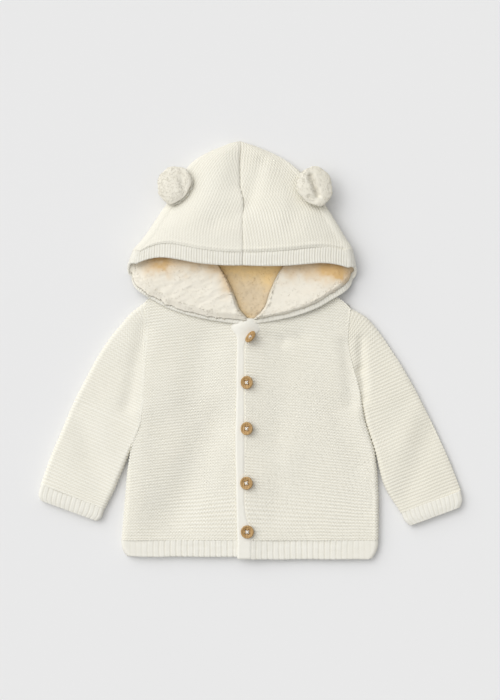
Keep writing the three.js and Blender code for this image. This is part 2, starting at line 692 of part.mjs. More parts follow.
// Ears: a plush front on a knitted back, sewn at the foot and tilted out with the hood
const ears = {
  left: { x: -85, y: 184, wide: 19.4, tall: 21, z: 17.5, tiltX: 0.1, tiltY: -0.1, lean: 0.12 },
  right: { x: 72, y: 182, wide: 20.4, tall: 22.5, z: 18.8, tiltX: -0.1, tiltY: -0.1, lean: -0.1 },
};
const earSides = 16;
const earRings = [0.45, 0.75, 0.93, 1];
const earBackWall = 2.6;
const earPile = 3;
const earDome = 5;

// A closed dish of two faces over the ear's outline, meeting at its rim
function earGeometry(ear, bottomZ, topZ) {
  const points = [];
  const faces = [];
  const place = (share, angle, z) => {
    const u = share * Math.cos(angle);
    const v = share * Math.sin(angle);
    const foot = 1 - 0.12 * clamp01(-v) ** 2;
    const x = ear.x + ear.wide * u * foot + ear.lean * ear.tall * v;
    const y = ear.y + ear.tall * v;
    return [x, y, ear.z + ear.tiltX * (x - ear.x) + ear.tiltY * (y - ear.y) + z];
  };
  for (const face of [topZ, bottomZ]) {
    points.push(place(0, 0, face(0)));
    for (const share of earRings) {
      for (let i = 0; i < earSides; i += 1) {
        points.push(place(share, (i / earSides) * 2 * Math.PI, face(share)));
      }
    }
  }
  const half = 1 + earRings.length * earSides;
  const at = (face, ring, i) => face * half + 1 + ring * earSides + (i % earSides);
  for (let i = 0; i < earSides; i += 1) {
    faces.push([0, at(0, 0, i), at(0, 0, i + 1)]);
    faces.push([half, at(1, 0, i + 1), at(1, 0, i)]);
    for (let ring = 0; ring < earRings.length - 1; ring += 1) {
      const [a, b] = [at(0, ring, i), at(0, ring, i + 1)];
      const [c, d] = [at(0, ring + 1, i + 1), at(0, ring + 1, i)];
      faces.push([a, d, c], [a, c, b]);
      const [e, f] = [at(1, ring, i), at(1, ring, i + 1)];
      const [g, h] = [at(1, ring + 1, i + 1), at(1, ring + 1, i)];
      faces.push([e, g, h], [e, f, g]);
    }
    const rim = earRings.length - 1;
    const [p, q] = [at(0, rim, i), at(0, rim, i + 1)];
    const [r, s] = [at(1, rim, i + 1), at(1, rim, i)];
    faces.push([p, s, r], [p, r, q]);
  }
  return closedGeometry(points, faces);
}

for (const side of ['left', 'right']) {
  const ear = ears[side];
  const back = earGeometry(ear, () => 0, () => earBackWall);
  const under = earBackWall + seam;
  const dome = (share) => under + earPile + earDome * Math.sqrt(1 - share * share * 0.96);
  addMesh(`ear_back_${side}`, back, 'knit');
  addMesh(`ear_front_${side}`, earGeometry(ear, () => under, dome), 'plush');
}

// Round wooden buttons with a raised rim, a dished middle and four thread holes
const buttonRadius = 7.4;
const buttonThick = 3.2;
const buttonHole = 0.95;
const buttonHoleOffset = 1.5;
const buttonSides = 20;
const buttonHoleSides = 6;
const buttonLift = topBandZ + ribWall + seam;
const buttons = [
  { x: -0.4, y: 13.4, tilt: 0.5, lift: 1.85 },
  { x: -3.8, y: -35.8, tilt: 0, lift: 0 },
  { x: -3.8, y: -88.5, tilt: 0, lift: 0 },
  { x: -3.8, y: -149, tilt: 0, lift: 0 },
  { x: -3.8, y: -203.8, tilt: 0, lift: 0 },
];

function toSolid(geometry) {
  const bare = geometry.clone();
  bare.deleteAttribute('normal');
  bare.deleteAttribute('uv');
  const merged = mergeVertices(bare, 1e-4);
  return new wasm.Manifold(new wasm.Mesh({
    numProp: 3,
    vertProperties: new Float32Array(merged.attributes.position.array),
    triVerts: new Uint32Array(merged.index.array),
  }));
}

function fromSolid(solid) {
  const mesh = solid.getMesh();
  const geometry = new THREE.BufferGeometry();
  geometry.setAttribute('position', new THREE.BufferAttribute(mesh.vertProperties, 3));
  geometry.setIndex(new THREE.BufferAttribute(mesh.triVerts, 1));
  return geometry;
}

function buttonGeometry() {
  const profile = [
    [0, 0],
    [buttonRadius - 1.4, 0],
    [buttonRadius, 1.2],
    [buttonRadius - 0.2, 2.5],
    [buttonRadius - 1, buttonThick],
    [buttonRadius - 2, buttonThick - 0.3],
    [buttonRadius - 3, 2],
    [0, 2],
  ].map(([x, y]) => new THREE.Vector2(x, y));
  const disc = new THREE.LatheGeometry(profile, buttonSides);
  disc.rotateX(Math.PI / 2);
  let solid = toSolid(disc);
  for (const [sx, sy] of [[1, 1], [1, -1], [-1, 1], [-1, -1]]) {
    const cut = 2.5 * buttonThick;
    const hole = new THREE.CylinderGeometry(buttonHole, buttonHole, cut, buttonHoleSides);
    hole.rotateX(Math.PI / 2);
    hole.translate(sx * buttonHoleOffset, sy * buttonHoleOffset, 0);
    solid = solid.subtract(toSolid(hole));
  }
  return fromSolid(solid);
}

buttons.forEach(({ x, y, tilt, lift }, i) => {
  const mesh = addMesh(`button_${i + 1}`, buttonGeometry(), 'wood');
  mesh.position.set(x, y, buttonLift + lift);
  mesh.rotation.set(0, tilt, 0);
});

export default cardigan;
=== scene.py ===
import math

import bpy
import numpy as np
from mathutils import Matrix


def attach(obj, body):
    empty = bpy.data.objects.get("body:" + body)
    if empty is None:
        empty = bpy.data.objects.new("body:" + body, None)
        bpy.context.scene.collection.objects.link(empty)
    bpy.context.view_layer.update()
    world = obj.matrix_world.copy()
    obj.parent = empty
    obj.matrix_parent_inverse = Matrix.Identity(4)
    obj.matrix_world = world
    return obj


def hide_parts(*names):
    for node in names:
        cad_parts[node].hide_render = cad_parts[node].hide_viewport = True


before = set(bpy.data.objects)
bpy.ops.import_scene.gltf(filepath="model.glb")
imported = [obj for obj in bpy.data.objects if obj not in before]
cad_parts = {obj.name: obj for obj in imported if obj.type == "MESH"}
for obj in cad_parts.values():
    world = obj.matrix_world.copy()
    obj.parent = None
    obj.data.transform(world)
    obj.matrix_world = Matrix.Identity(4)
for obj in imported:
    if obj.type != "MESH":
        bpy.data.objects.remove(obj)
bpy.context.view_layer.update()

# Hooded baby cardigan in off-white knit, laid flat and seen from straight above.
# Sizes are in millimetres in the CAD frame and become metres when a mesh is made. A table
# named "left" or "right" is for that side as seen from above.
mm = 0.001
imageSize = (500, 700)
scene = bpy.context.scene
scene.view_settings.view_transform = "Standard"

shot = {"x": -0.45, "y": 0, "height": 2208, "sharpAt": 8, "mmPerPixel": 1.12, "sensor": 36}


def placeCamera():
    distance = shot["height"] - shot["sharpAt"]
    data = bpy.data.cameras.new("overhead")
    data.sensor_width = shot["sensor"]
    data.lens = shot["sensor"] * distance / (imageSize[1] * shot["mmPerPixel"])
    camera = bpy.data.objects.new("overhead", data)
    camera.location = (shot["x"] * mm, shot["y"] * mm, shot["height"] * mm)
    scene.collection.objects.link(camera)
    scene.camera = camera


placeCamera()
print("camera placed")


# Shader maths: a wrapped socket adds Math nodes for Python's own operators
class Wire:
    def __init__(self, finish, socket):
        self.finish = finish
        self.socket = socket

    def combine(self, operation, a, b):
        return self.finish.node("Math", {"operation": operation}, {0: a, 1: b})

    def __add__(self, other):
        return self.combine("ADD", self, other)

    def __sub__(self, other):
        return self.combine("SUBTRACT", self, other)

    def __rsub__(self, other):
        return self.combine("SUBTRACT", other, self)

    def __mul__(self, other):
        return self.combine("MULTIPLY", self, other)

    __radd__, __rmul__ = __add__, __mul__


class Finish:
    def __init__(self, name):
        self.material = bpy.data.materials.new(name)
        self.material.use_nodes = True
        self.tree = self.material.node_tree
        self.tree.nodes.clear()
        self.place = self.node("TexCoord", {}, {}, "Object")

    # Any node: its type, its settings, the values or links of its sockets, the output wanted
    def node(self, kind, settings, sockets, output=0):
        made = self.tree.nodes.new("ShaderNode" + kind)
        for key, value in settings.items():
            setattr(made, key, value)
        for key, value in sockets.items():
            if isinstance(value, Wire):
                self.tree.links.new(value.socket, made.inputs[key])
            else:
                made.inputs[key].default_value = value
        return Wire(self, made.outputs[output]) if made.outputs else made

    def blend(self, share, a, b):
        return self.node("Mix", {"data_type": "RGBA"}, {0: share, 6: a, 7: b}, 2)

    def noise(self, scale, detail=2, place=None):
        sockets = {"Vector": place or self.place, "Scale": scale, "Detail": detail}
        return self.node("TexNoise", {}, sockets)

    def wave(self, place, scale, slanted, sockets):
        settings = {"bands_direction": "DIAGONAL"} if slanted else {}
        return self.node("TexWave", settings, {"Vector": place, "Scale": scale, **sockets}, "Fac")

    def relief(self):
        return self.node("Attribute", {"attribute_name": "relief"}, {}, "Fac")

    # The shader and the output; a bump is its height, its strength and its distance
    def surface(self, colour, roughness, bump, sockets):
        sockets = {"Base Color": colour, "Roughness": roughness, **sockets}
        if bump:
            sockets["Normal"] = self.node("Bump", {}, dict(zip(("Height", "Strength", "Distance"), bump)))
        shader = self.node("BsdfPrincipled", {}, sockets)
        self.node("OutputMaterial", {}, {"Surface": shader})
        return self.material


def rgb(red, green, blue):
    return (red, green, blue, 1)


# Yarn: warm off-white with random warmer patches; painted shade makes it darker and warmer in the furrows
# below the "level"; fibre fuzz as bump
knitYarn = {
    "light": rgb(0.95, 0.935, 0.86), "warm": rgb(0.92, 0.895, 0.80), "furrowShade": rgb(0.60, 0.55, 0.41),
    "fuzz": 1500, "patch": 28, "bump": 0.4, "deepestShade": 0.62, "level": 0.9,
}
ribYarn = {**knitYarn, "light": rgb(0.86, 0.845, 0.775), "warm": rgb(0.84, 0.815, 0.735),
           "furrowShade": rgb(0.60, 0.56, 0.43), "bump": 0.3}


def yarnFinish(name, look):
    finish = Finish(name)
    strand = finish.node("UVMap", {"uv_map": "yarnUV"}, {})
    twist = finish.wave(strand, 2.4, True, {"Distortion": 1.5, "Detail": 1})
    tone = finish.blend(finish.noise(look["patch"], 3), look["light"], look["warm"])
    # painted shade: the further the relief lies below the level, the more of the dark furrow colour
    depth = (look["level"] - finish.relief()) * (look["deepestShade"] / look["level"])
    height = finish.noise(look["fuzz"], 3) * 0.6 + twist * 0.4
    return finish.surface(finish.blend(depth, tone, look["furrowShade"]), 0.93, (height, look["bump"], 0.0004),
                          {"Sheen Weight": 0.25, "Sheen Roughness": 0.6, "Specular IOR Level": 0.2})


# Plush: cream curls, and painted shade: a warm tan where the pile lies in shade under the hood's mouth
plushLook = {"light": rgb(0.865, 0.825, 0.735), "warm": rgb(0.845, 0.795, 0.675),
             "deep": rgb(0.72, 0.49, 0.235)}
earLook = {"light": rgb(0.835, 0.80, 0.71), "warm": rgb(0.80, 0.765, 0.655),
           "deep": rgb(0.9, 0.7, 0.42)}
# The nape's plush is tan all over: painted shade of the recess down the neck
napeShadeLook = {"light": rgb(0.72, 0.605, 0.435), "warm": rgb(0.69, 0.56, 0.385),
            "deep": rgb(0.97, 0.72, 0.365)}
pile = {"fuzz": 2200, "patch": 60, "clump": 300}


def plushFinish(name, look):
    finish = Finish(name)
    patches = finish.noise(pile["patch"]) * 0.5 + finish.noise(pile["clump"]) * 0.5
    tone = finish.blend(patches, look["light"], look["warm"])
    # the relief attribute here carries the painted warm shade
    colour = finish.blend(finish.relief(), tone, look["deep"])
    return finish.surface(colour, 0.97, (finish.noise(pile["fuzz"], 4), 0.35, 0.0005),
                          {"Specular IOR Level": 0.1})


woodLook = {"pale": rgb(0.55, 0.35, 0.137), "dark": rgb(0.24, 0.12, 0.035), "rings": 130, "pores": 900}


def woodFinish(name, look):
    finish = Finish(name)
    stretched = finish.node("Mapping", {}, {"Vector": finish.place, "Rotation": (0, 0, 0.5),
                            "Scale": (1, 0.16, 1)})
    grain = finish.wave(stretched, look["rings"], False,
                        {"Distortion": 5, "Detail": 3, "Detail Scale": 2})
    pores = finish.noise(look["pores"], 2, stretched)
    colour = finish.blend(grain * 0.38 + pores * 0.42, look["pale"], look["dark"])
    return finish.surface(colour, grain * 0.1 + 0.42, (pores, 0.25, 0.0002), {})


def threadFinish(name):
    finish = Finish(name)
    ply = finish.wave(finish.place, 900, True, {})
    colour = finish.blend(ply * 0.5, rgb(0.88, 0.86, 0.8), rgb(0.72, 0.68, 0.6))
    return finish.surface(colour, 0.8, (ply, 0.5, 0.0002), {})


def floorFinish(name):
    finish = Finish(name)
    colour = finish.blend(finish.noise(3), rgb(0.80, 0.80, 0.80), rgb(0.81, 0.81, 0.81))
    return finish.surface(colour, 0.9, None, {"Specular IOR Level": 0.1})


finishes = {
    "knit": yarnFinish("garterKnit", knitYarn),
    "rib": yarnFinish("ribKnit", ribYarn),
    "band": yarnFinish("bandKnit", {**ribYarn, "furrowShade": rgb(0.74, 0.70, 0.60)}),
    "plush": plushFinish("plushPile", plushLook),
    "ear": plushFinish("earPile", earLook),
    "nape": plushFinish("napeShadedPile", napeShadeLook),
    "wood": woodFinish("turnedWood", woodLook),
    "thread": threadFinish("sewingThread"),
    "floor": floorFinish("studioFloor"),
}
print("finishes made")


# Light: a very broad lamp far off at the upper left, a smaller one inside it, and a pale sky
# all round
lamps = [
    {"from": (-1.15, 0.82, 1.6), "spread": 1.3, "power": 1.75},
    {"from": (-1.15, 0.82, 1.6), "spread": 0.5, "power": 0.5},
]
studio = {"sky": 0.476, "floor": 6000, "drop": 0.2}


def lightStudio():
    for number, lamp in enumerate(lamps):
        data = bpy.data.lights.new(f"softLamp{number}", "SUN")
        data.angle = lamp["spread"]
        data.energy = lamp["power"]
        piece = bpy.data.objects.new(f"softLamp{number}", data)
        x, y, z = lamp["from"]
        piece.rotation_euler = (math.atan2(math.hypot(x, y), z), 0, math.atan2(y, x) + math.pi / 2)
        scene.collection.objects.link(piece)
    world = bpy.data.worlds.new("studio")
    world.use_nodes = True
    sky = world.node_tree.nodes["Background"]
    sky.inputs["Color"].default_value = (1, 1, 1, 1)
    sky.inputs["Strength"].default_value = studio["sky"]
    scene.world = world
    corners = np.array([[-1, -1, 0], [1, -1, 0], [1, 1, 0], [-1, 1, 0]]) * studio["floor"] / 2
    corners[:, 2] = -studio["drop"]
    mesh = bpy.data.meshes.new("studioFloor")
    mesh.from_pydata((corners * mm).tolist(), [], [(0, 1, 2, 3)])
    mesh.materials.append(finishes["floor"])
    floor = bpy.data.objects.new("studioFloor", mesh)
    scene.collection.objects.link(floor)


lightStudio()
print("studio lit")


def lerp(a, b, t):
    return a + (b - a) * t


def smooth(t):
    t = np.clip(t, 0, 1)
    return t * t * (3 - 2 * t)


# Even shares from 0 to 1, in a row
def evenly(count):
    return np.linspace(0, 1, count + 1)[None, :]


# Vectors divided by their lengths
def unit(vectors):
    return vectors / np.maximum(np.linalg.norm(vectors, axis=-1, keepdims=True), 1e-9)


# A grid of points from x, y and z, which are repeated where they have a single row or column
def pointGrid(x, y, z):
    return np.stack(np.broadcast_arrays(x, y, z), axis=-1)


# Grids joined side by side, or one after the other
def beside(*grids):
    return np.concatenate(grids, axis=1)


def stacked(*grids):
    return np.concatenate(grids)


# A grid with its first column once more after its last
def wrap(grid):
    return beside(grid, grid[:, :1])


def ringAngles(count):
    return (np.arange(count) / count * 2 * np.pi)[None, :]


# A piece's name and its CAD node's: hoodRib and left make hoodRibLeft and hood_rib_left
def labels(part, side):
    words = "".join("_" + letter.lower() if letter.isupper() else letter for letter in part)
    return part + side.capitalize(), f"{words}_{side}"


sides = ("left", "right")
signs = {"left": -1, "right": 1}
# Fine steps to a coarse one: a shell's inner face has every fourth row and column of its outer
step = 4


# Rows of a table at fractional places, on a Catmull-Rom curve through its rows
def curveRows(table, at):
    rows = np.asarray(table, float)
    rows = np.vstack([2 * rows[:1] - rows[1:2], rows, 2 * rows[-1:] - rows[-2:-1]])
    i = np.clip(np.floor(at).astype(int), 0, len(rows) - 4)
    t = (at - i)[:, None]
    a, b, c, d = rows[i], rows[i + 1], rows[i + 2], rows[i + 3]
    return 0.5 * (2 * b + (c - a) * t + (2 * a - 5 * b + 4 * c - d) * t**2
                  + (3 * b - a - 3 * c + d) * t**3)


# A table's rows at even steps of the way travelled; "spans" are the ways from row to row
def evenRows(table, spans, count):
    travelled = stacked([0], np.cumsum(spans))
    return curveRows(table, np.interp(evenly(count)[0] * travelled[-1], travelled, np.arange(len(table))))


# Value noise from -1 to 1: random heights on a square lattice, joined by smooth steps
def softNoise(x, y, size, seed):
    lattice = np.random.default_rng(seed).random((256, 256)) * 2 - 1
    u, v = np.asarray(x) / size, np.asarray(y) / size
    i, j = np.floor(u).astype(int), np.floor(v).astype(int)
    s, t = smooth(u - i), smooth(v - j)
    low = lerp(lattice[i % 256, j % 256], lattice[(i + 1) % 256, j % 256], s)
    high = lerp(lattice[i % 256, (j + 1) % 256], lattice[(i + 1) % 256, (j + 1) % 256], s)
    return lerp(low, high, t)


# Unit normals of a grid of points: the cross product of its two directions. They point up
# at the grid's highest point, or down at its lowest.
def gridNormals(grid, closed=False, faceUp=True):
    padded = beside(grid[:, -1:], wrap(grid)) if closed else grid
    across = np.gradient(padded, axis=1)
    across = across[:, 1:-1] if closed else across
    normals = unit(np.cross(np.gradient(grid, axis=0), across))
    heights = grid[1:-1, 1:-1, 2]
    at = np.argmax(heights) if faceUp else np.argmin(heights)
    row, col = np.unravel_index(at, heights.shape)
    lift = normals[row + 1, col + 1, 2]
    return normals if (lift > 0) == faceUp else -normals


def gridFaces(at):
    return np.stack([at[:-1, :-1], at[:-1, 1:], at[1:, 1:], at[1:, :-1]], axis=-1).reshape(-1, 4)


# Triangles that join a fine edge to a coarse one
def zipEdges(fine, coarse, flip):
    spans = len(coarse) - 1
    starts = np.arange(spans)[:, None] * step + np.arange(step)[None, :]
    fans = np.stack([fine[starts + 1], fine[starts],
                     np.repeat(coarse[:-1, None], step, axis=1)], axis=-1).reshape(-1, 3)
    last = np.stack([fine[(np.arange(spans) + 1) * step], coarse[:-1], coarse[1:]], axis=-1)
    faces = stacked(fans, last)
    return faces[:, ::-1] if flip else faces


def signedVolume(points, quads, tris):
    faces = stacked(quads[:, :3], quads[:, [0, 2, 3]], tris)
    a, b, c = points[faces[:, 0]], points[faces[:, 1]], points[faces[:, 2]]
    return np.einsum("ij,ij->i", a, np.cross(b, c)).sum()


# A mesh piece from points, quads and triangles, faces turned outwards; its label is its name and
# the CAD node that it replaces, if any
def makePiece(label, points, quads, tris, finish, uv=None, relief=None):
    name, node = label
    if signedVolume(points, quads, tris) < 0:
        quads, tris = quads[:, ::-1], tris[:, ::-1]
    mesh = bpy.data.meshes.new(name)
    mesh.vertices.add(len(points))
    mesh.vertices.foreach_set("co", (points * mm).astype(np.float32).ravel())
    corners = stacked(quads.ravel(), tris.ravel()).astype(np.int32)
    mesh.loops.add(len(corners))
    mesh.loops.foreach_set("vertex_index", corners)
    starts = stacked(np.arange(len(quads)) * 4, len(quads) * 4 + np.arange(len(tris)) * 3)
    mesh.polygons.add(len(starts))
    mesh.polygons.foreach_set("loop_start", starts.astype(np.int32))
    mesh.update(calc_edges=True)
    mesh.validate()
    mesh.shade_smooth()
    if uv is not None:
        layer = mesh.uv_layers.new(name="yarnUV")
        layer.data.foreach_set("uv", uv[corners].astype(np.float32).ravel())
    if relief is not None:
        attribute = mesh.attributes.new("relief", "FLOAT", "POINT")
        attribute.data.foreach_set("value", relief.astype(np.float32))
    mesh.materials.append(finishes[finish])
    piece = bpy.data.objects.new(name, mesh)
    scene.collection.objects.link(piece)
    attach(piece, "root")
    if node:
        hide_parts(node)
    print(name, len(quads) * 2 + len(tris), "triangles")
    return piece


# Half-round lip in front of a shell's first row: from the inner face round to the outer one
def addLip(outer, inner):
    out, coarse = unit(outer[0] - outer[1]), inner[0]
    fineInner = np.stack([np.interp(np.arange(outer.shape[1]), np.arange(len(coarse)) * step,
                                    coarse[:, k]) for k in range(3)], axis=-1)
    centre, half = (outer[0] + fineInner) / 2, (outer[0] - fineInner) / 2
    angles = (np.pi * np.arange(step, 0, -1) / (step + 0.5))[:, None, None]
    reach = np.linalg.norm(half, axis=-1, keepdims=True)
    rows = centre + half * np.cos(angles) + out * reach * np.sin(angles)
    first = coarse + out[::step] * 0.15
    return stacked(rows, outer), stacked(first[None], inner)


# A closed shell of cloth between a fine outer grid and a coarse inner one, joined along its
# edges; a closed one also joins its last column to its first. Yarn is u, v and relief.
def clothShell(label, outer, inner, yarn, finish, closed=False):
    rows, cols = outer.shape[:2]
    outerAt = np.arange(rows * cols).reshape(rows, cols)
    innerAt = rows * cols + np.arange(inner[..., 0].size).reshape(inner.shape[:2])
    if closed:
        outerAt, innerAt = wrap(outerAt), wrap(innerAt)
    quads = stacked(gridFaces(outerAt), gridFaces(innerAt[:, ::-1]))
    tris = [zipEdges(outerAt[0], innerAt[0], False), zipEdges(outerAt[-1], innerAt[-1], True)]
    if not closed:
        tris.append(zipEdges(outerAt[:, 0], innerAt[:, 0], True))
        tris.append(zipEdges(outerAt[:, -1], innerAt[:, -1], False))
    points = stacked(outer.reshape(-1, 3), inner.reshape(-1, 3))
    u, v, relief = yarn
    uv = np.stack([u, v], axis=-1)
    uvs = stacked(uv.reshape(-1, 2), uv[::step, ::step].reshape(-1, 2))
    # the inner face's relief is 0, so a knit's inner face takes the most painted furrow shade
    reliefs = stacked(relief.ravel(), relief[::step, ::step].ravel() * 0)
    return makePiece(label, points, quads, np.concatenate(tris), finish, uvs, reliefs)


# A knitted layer: its outer grid is pushed out along the normals and stays off the table, its
# inner grid lies a wall's thickness behind, or a share of it; a lip rounds its first row
def knitLayer(label, grid, push, yarn, finish, thin=1, closed=False, faceUp=True, lip=False):
    normals = gridNormals(grid, closed, faceUp)
    wall = (knitSizes if finish == "knit" else ribSizes)["wall"] * thin
    outer, inner = grid + normals * push[..., None], (grid - normals * wall)[::step, ::step]
    outer[..., 2] = np.maximum(outer[..., 2], 0)
    if closed:
        inner[..., 2] = np.maximum(inner[..., 2], 0.3)
    if lip:
        outer, inner = addLip(outer, inner)
        yarn = [stacked(np.repeat(part[:1], step, axis=0), part) for part in yarn]
    return clothShell(label, outer, inner, yarn, finish, closed)


# Garter stitch relief from 0 to 1: two crossing sets of slanted strands, "lean" the share of the
# first set, over a ridge for each row pair, "ridged" its share; u counts stitches, v counts ridges
def garterRelief(u, v, seed, lean=0.5, ridged=0.24):
    v = v + 0.14 * softNoise(u, v, 6, seed)
    u = u + 0.25 * softNoise(u, v, 4, seed + 1)
    strands = lean * np.sin(2 * np.pi * (v + u)) + (1 - lean) * np.sin(2 * np.pi * (v - u))
    ridge = -np.cos(2 * np.pi * v)
    share = ridged + 0.14 * softNoise(u, v, 11, seed + 2)
    uneven = 1 + 0.35 * softNoise(u, v, 0.8, seed + 3)
    return np.clip(0.5 + 0.7 * ((1 - share) * strands * uneven + share * ridge), 0, 1)


# Rib relief from 0 to 1: pairs of rounded wales parted by a groove, with a groove of depth
# "inside" between the two and small stitches along them; u counts pairs and v counts stitches
def ribRelief(u, v, seed, inside=0.25):
    u = u + 0.04 * softNoise(u, v, 3, seed + 1)
    share = u - np.floor(u)
    wale = np.abs(np.sin(np.pi * share)) ** 0.6
    groove = inside * np.exp(-(((share - 0.5) / 0.13) ** 2))
    stitches = np.abs(np.sin(np.pi * v + np.pi * share))
    uneven = 0.1 * softNoise(u, v, 1.1, seed)
    return np.clip(0.2 + 0.7 * wale - groove + 0.12 * stitches + uneven, 0, 1.1)


knitSizes = {"ridge": 3.36, "stitch": 3.34, "rise": 1.35, "wall": 4.0}
ribSizes = {"wall": 3.2, "rise": 0.8, "stitch": 2.4}
seamGap = 0.3

# Troughs in the top of the cloth, the CAD's own and finer ones: a line from x, y to x, y, the
# width of the bell about it, and its depth
creases = [
    (124, 12, 128, -40, 5, 1.9), (-119, 24, -137, -62, 9, 1.9), (3, 20, 35, 9.5, 6.5, 1.5),
    (37, 9.5, 58, 16, 8, 1), (-44, -84, -84, -180, 24, 4.6), (-20, -90, -50, -190, 30, 1),
    (-50, 4, -68, -62, 20, 2.5), (-119, -70, -127, -188, 15, -1.6), (31, -84, 29, -186, 12, 0.7),
    (100, -70, 124, -125, 15, 1.5), (107, 6, 113, -60, 8, 1.6), (62, -40, 50, -110, 20, -0.8),
    (200, -90, 174, -161, 14, 1.6), (190, -60, 168, -110, 12, -0.8),
    (-196, -70, -168, -150, 14, 1.3), (168, 14, 248, -150, 40, 3.4),
]


def creaseDepth(x, y, lines):
    depth = np.zeros(np.shape(x))
    for startX, startY, endX, endY, width, most in lines:
        dx, dy = endX - startX, endY - startY
        along = np.clip(((x - startX) * dx + (y - startY) * dy) / (dx * dx + dy * dy), 0, 1)
        away = np.hypot(x - startX - along * dx, y - startY - along * dy)
        depth += most * np.exp(-((away / width) ** 2))
    return depth


# The turned side edge of a panel: out from the edge and off its mid plane, for shares t from
# 0 at the side seam to 1 where it lies flat; a fold is a quarter circle, an armhole a rim
def edgeProfile(height, fold, t, rim=1.2):
    radius = height / 2
    angle = t * np.pi / 2
    foldOut = radius * (1 - np.cos(angle))
    foldRise = 0.15 + (radius - 0.15) * np.sin(angle)
    plainOut = rim * (1 - np.cos(angle))
    plainRise = (radius - rim) * np.minimum(t * 4, 1) + rim * np.sin(angle)
    return lerp(plainOut, foldOut, fold), lerp(plainRise, foldRise, fold)


# Fronts and back: rows lie level. Columns run from the side to the middle edge. The side line
# is the side seam, then the armhole, then the shoulder.
body = {"bottom": -213.4, "shoulderTop": 102.5, "rows": 352, "columns": 116, "foldColumns": 8}
sideLines = {
    "left": [(-213.4, -144.6), (-190, -142.6), (-165, -140.6), (-137, -138.2), (-113, -134.4),
             (-96, -130.2), (-79, -125.9), (-64, -123.6), (-48, -122.2), (4, -119.6), (56, -117),
             (103, -43)],
    "right": [(-213.4, 143.6), (-190, 143.9), (-165, 143.9), (-137, 142.3), (-113, 139.4),
              (-79, 128.6), (-48, 123.4), (-30, 118.4), (-17, 114.8), (-4, 111.4), (8, 109.6),
              (22, 109.8), (47, 112.6), (103, 44)],
}
middleLines = {
    "left": [(-213.4, -11), (18, -11), (29, -11.5), (55, -22), (79, -30), (103, -43)],
    "right": [(-213.4, 1.6), (-200, 0), (-188, -4), (-172, -6), (4, -6), (14, -3), (24, 3.6),
              (55, 22), (79, 31), (103, 44)],
}
heightLines = {
    "side": [(-213.4, 9.4), (-165, 9.8), (-113, 10), (-48, 9.8), (-6, 9.6), (55, 9.2), (103, 8.5)],
    "left": [(-213.4, 9.2), (-165, 9.4), (29, 9.4), (55, 9.2), (79, 8.8), (103, 8.5)],
    "right": [(-213.4, 12.4), (-165, 13.2), (-20, 13.2), (24, 12.4), (55, 9.6), (79, 8.8),
              (103, 8.5)],
}


def lineAt(points, y):
    ys, xs = zip(*points)
    return np.interp(y, ys, xs)


# The sides are folded below the underarms; above, the left one's edge lies against the sleeve
foldEnds = {"left": (-150, -106), "right": (-79, -34)}
rims = {"left": 0.4, "right": 0.6}
leans = {"left": 0.5, "right": 0.62}
# Ridges rise towards the middle, less so at the hem
ridgeTilt = {"left": 0.105, "right": 0.1, "fadeFrom": -213.4, "fadeBy": 60}


def panelRows(count):
    return np.linspace(body["bottom"], body["shoulderTop"], count + 1)[:, None]


def foldShare(side, y):
    low, high = foldEnds[side]
    return 1 - smooth((y - low) / (high - low))


def ridgeRise(side, y, inward):
    level = ridgeTilt[side] * smooth((y - ridgeTilt["fadeFrom"]) / ridgeTilt["fadeBy"])
    return level * (inward - 8 * np.exp(-inward / 8) + 6 * np.sin(inward / 40))


def frontPanel(side):
    y, sign = panelRows(body["rows"]), signs[side]
    edge, middle = lineAt(sideLines[side], y), lineAt(middleLines[side], y)
    height, midHeight = lineAt(heightLines["side"], y), lineAt(heightLines[side], y)
    outs, rises = edgeProfile(height, foldShare(side, y), evenly(body["foldColumns"]), rims[side])
    width = np.maximum(sign * (edge - middle), 0.6)
    outs = np.minimum(outs, width * 0.4)
    share = evenly(body["columns"])[:, 1:]
    inward = beside(outs, lerp(outs[:, -1:], width, share))
    x = edge - sign * inward
    ys = y + 0 * x
    flatTop = lerp(height, midHeight, share**3) + 0.7 * softNoise(x[:, outs.shape[1]:], y, 42, 5)
    z = beside(height / 2 + rises, flatTop)
    z = z - creaseDepth(x, ys, creases) * lerp(1, smooth(inward / 6), foldShare(side, y))
    u, v = x / knitSizes["stitch"], (ys - ridgeRise(side, y, inward)) / knitSizes["ridge"]
    relief = garterRelief(u, v, 11, leans[side])
    taper = smooth(np.minimum(inward + 2, width - inward + 2) / 2)
    push = (relief - 0.5) * knitSizes["rise"] * taper
    return knitLayer(labels("front", side), pointGrid(x, y, z), push, (u, v, relief), "knit")


for side in sides:
    frontPanel(side)
print("fronts made")


# A piece that lies flat on the table and turns up at both sides: its x and z
def flatBack(left, right, height, fold, sizes):
    outs, drops = edgeProfile(height, fold, evenly(sizes["foldColumns"]))
    share = evenly(sizes["columns"])[:, 1:-1]
    start = outs[:, -1:]
    x = beside(left + outs, lerp(left + start, right - start, share), (right - outs)[:, ::-1])
    low = height / 2 - drops
    return x, beside(low, np.zeros((len(low), share.size)), low[:, ::-1])


# The back lies on the table: its outer face is flat on z = 0 and turns up at both sides
back = {"rows": 188, "columns": 96, "foldColumns": 4, "rise": 0.6, "sunk": 1.05}


def backPanel():
    y = panelRows(back["rows"])
    left, right = lineAt(sideLines["left"], y), lineAt(sideLines["right"], y)
    x, z = flatBack(left, right, lineAt(heightLines["side"], y), 1 - smooth((y + 100) / 80), back)
    u, v = x / knitSizes["stitch"], (y + 0 * x) / knitSizes["ridge"]
    relief = garterRelief(u, v, 13)
    return knitLayer(("back", "back_panel"), pointGrid(x, y, z), (relief - back["sunk"]) * back["rise"],
                     (u, v, relief), "knit", faceUp=False)


backPanel()
print("back made")


